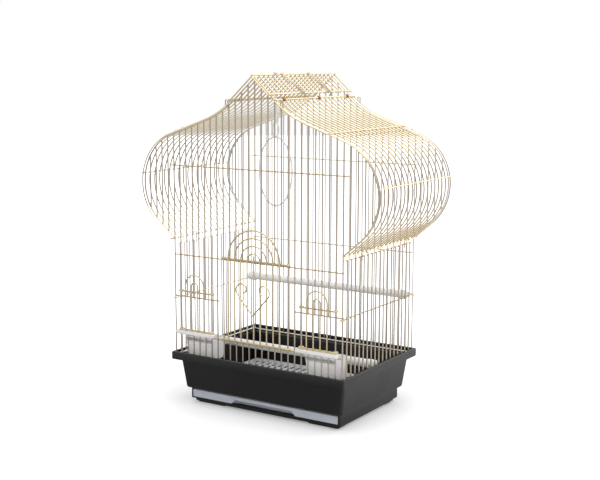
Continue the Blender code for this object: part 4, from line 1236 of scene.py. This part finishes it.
SWING_ROD = 0.0026
SWING_RING = (0.0281, 0.0492)
SWING_NECK = (0.005, 0.0105)
SWING_RING_Z = 0.3535
SWING_NECK_Z = 0.4132
STEM_HOOK = 0.003
STRIP_HALF = (0.0026, 0.0012)

swing_plastic = moulded(
    "milky_moulding", (0.78, 0.8, 0.83), (0.84, 0.855, 0.88),
    patch=0.03, roughness=0.3, spread=0.08, pebble=0.001, depth=0.00001)

swing_y = bar_y(4.5)
swing_runs = []
for (half_x, half_z), middle_z in ((SWING_RING, SWING_RING_Z), (SWING_NECK, SWING_NECK_Z)):
    hoop = circle((0, 0), 1, 56)
    swing_runs.append(([(px * half_x, swing_y, middle_z + pz * half_z) for px, pz in hoop],
                       SWING_ROD, True))
hook_turns = arc((0, RIDGE_WIRE_Z), STEM_HOOK, pi, -LOOP_TURN / 4, 16)
stem = [(0, swing_y, SWING_NECK_Z + SWING_NECK[1]), (0, swing_y, RIDGE_WIRE_Z - 0.015),
        (-0.0006, swing_y, RIDGE_WIRE_Z - 0.012), (-0.0026, swing_y, RIDGE_WIRE_Z - 0.004)]
stem += [(px, swing_y, pz) for px, pz in hook_turns]
swing_runs.append((stem, SWING_ROD))
strip_line = [(half_x, STRIP_HALF[1], swing_y, 0.0008, z) for half_x, z in (
    (0.0012, SWING_NECK_Z + 0.009), (STRIP_HALF[0], SWING_NECK_Z + 0.012),
    (STRIP_HALF[0], 0.454), (0.0012, 0.457))]
strip = carved("strip", lofted(strip_line, steps=4))
fit("swing_moulding", (drawn(swing_runs, swing_plastic, sides=14), strip), swing_plastic,
    "hanging_swing", "swing")


# Floor and light. A plain white floor in a white surround, a large soft lamp above, and another
# behind on the right. Shiny parts mirror the floor and the surround a little darker.

FLOOR_RADIUS = 6.0
DIFFUSE_LEVEL = 0.85


def rays(tree):
    """Whether a ray is mirrored, and whether it comes from the camera, straight or through glass."""
    kinds = place(tree, "ShaderNodeLightPath").outputs
    straight = sums(tree, "MAXIMUM", kinds["Is Camera Ray"], kinds["Is Transmission Ray"])
    return kinds["Is Glossy Ray"], straight


floor_material, floor_tree, floor_shader = shaded("studio_floor")
floor_shader.inputs["Base Color"].default_value = (0.86, 0.86, 0.86, 1.0)
floor_shader.inputs["Roughness"].default_value = 0.9
floor_shader.inputs["Specular IOR Level"].default_value = 0.0
floor_shader.inputs["Emission Color"].default_value = (1.0, 1.0, 1.0, 1.0)
floor_glossy, floor_direct = rays(floor_tree)
spot_on_floor = place(floor_tree, "ShaderNodeTexCoord").outputs["Object"]
away = place(floor_tree, "ShaderNodeVectorMath", {0: spot_on_floor}, operation="LENGTH").outputs["Value"]
fade = ranged(floor_tree, away, low=0.25, high=0.7, to_low=0.26, interpolation_type="SMOOTHSTEP")
lift = sums(floor_tree, "MULTIPLY", floor_direct, fade)
floor_tree.links.new(lift, floor_shader.inputs["Emission Strength"])
near_base = ranged(floor_tree, away, low=0.3, high=0.6, to_low=0.3, to_high=0.8)
across = place(floor_tree, "ShaderNodeSeparateXYZ", {0: spot_on_floor}).outputs["X"]
mirrored_floor = ranged(floor_tree, across, low=0.1, high=0.24, to_low=near_base)
floor_mix = result(floor_tree, "ShaderNodeMixShader", {
    0: floor_glossy,
    1: floor_shader.outputs["BSDF"],
    2: result(floor_tree, "ShaderNodeEmission", {"Strength": mirrored_floor}),
})
floor_tree.links.new(floor_mix, floor_tree.nodes["Material Output"].inputs["Surface"])
floor_mesh = bmesh.new()
floor_ring = circle((0, 0), FLOOR_RADIUS, 64)
floor_mesh.faces.new([floor_mesh.verts.new((x, y, 0.0)) for x, y in floor_ring])
floor = linked("floor", as_data("floor", floor_mesh))
floor.data.materials.append(floor_material)

world = bpy.data.worlds.new("studio")
bpy.context.scene.world = world
world.use_nodes = True
sky = world.node_tree
surround = sky.nodes["Background"]
surround.inputs["Color"].default_value = (1.0, 1.0, 1.0, 1.0)
sky_glossy, sky_direct = rays(sky)
toward = place(sky, "ShaderNodeSeparateXYZ",
               {0: place(sky, "ShaderNodeTexCoord").outputs["Generated"]}).outputs
behind = ranged(sky, toward["Y"], low=-0.45, high=0.15, interpolation_type="SMOOTHSTEP")
above = ranged(sky, toward["Z"], low=0.25, high=0.6, interpolation_type="SMOOTHSTEP")
mirrored = ranged(sky, sums(sky, "MAXIMUM", behind, above), low=0.0, high=1.0, to_low=0.6)
shown = result(sky, "ShaderNodeMix",
               {0: sky_glossy, 2: DIFFUSE_LEVEL, 3: mirrored}, data_type="FLOAT")
level = result(sky, "ShaderNodeMix", {0: sky_direct, 2: shown, 3: 1.0}, data_type="FLOAT")
sky.links.new(level, surround.inputs["Strength"])


def soft_lamp(name, spot, aim, size, watts):
    """A large square lamp that faces a point."""
    data = bpy.data.lights.new(name, "AREA")
    data.size = size
    data.energy = watts
    lamp = linked(name, data)
    lamp.location = spot
    lamp.rotation_euler = (Vector(aim) - Vector(spot)).to_track_quat("-Z", "Y").to_euler()


soft_lamp("top_lamp", (0.3, -0.3, 2.0), aim=(0.0, 0.0, 0.2), size=1.6, watts=14.0)
soft_lamp("right_lamp", (1.3, 1.9, 1.1), aim=(0.0, 0.0, 0.2), size=1.2, watts=8.0)


# The photograph's view. The camera stands in front on the right, just above the cage's top, and
# looks down a little.

YAW = radians(32.49)
PITCH = radians(9.0)
ROLL = radians(0.17)
CAMERA_SPOT = (0.9147, -1.4226, 0.5153)
LENS = 69.35
SENSOR_WIDTH = 36.0

camera_data = bpy.data.cameras.new("photo_view")
camera_data.sensor_width = SENSOR_WIDTH
camera_data.lens = LENS
camera = linked("photo_view", camera_data)
level_view = Matrix.Rotation(YAW, 4, "Z") @ Matrix.Rotation(pi / 2 - PITCH, 4, "X")
camera.matrix_world = Matrix.Translation(CAMERA_SPOT) @ level_view @ Matrix.Rotation(ROLL, 4, "Z")
bpy.context.scene.camera = camera
bpy.context.scene.view_settings.view_transform = "Standard"
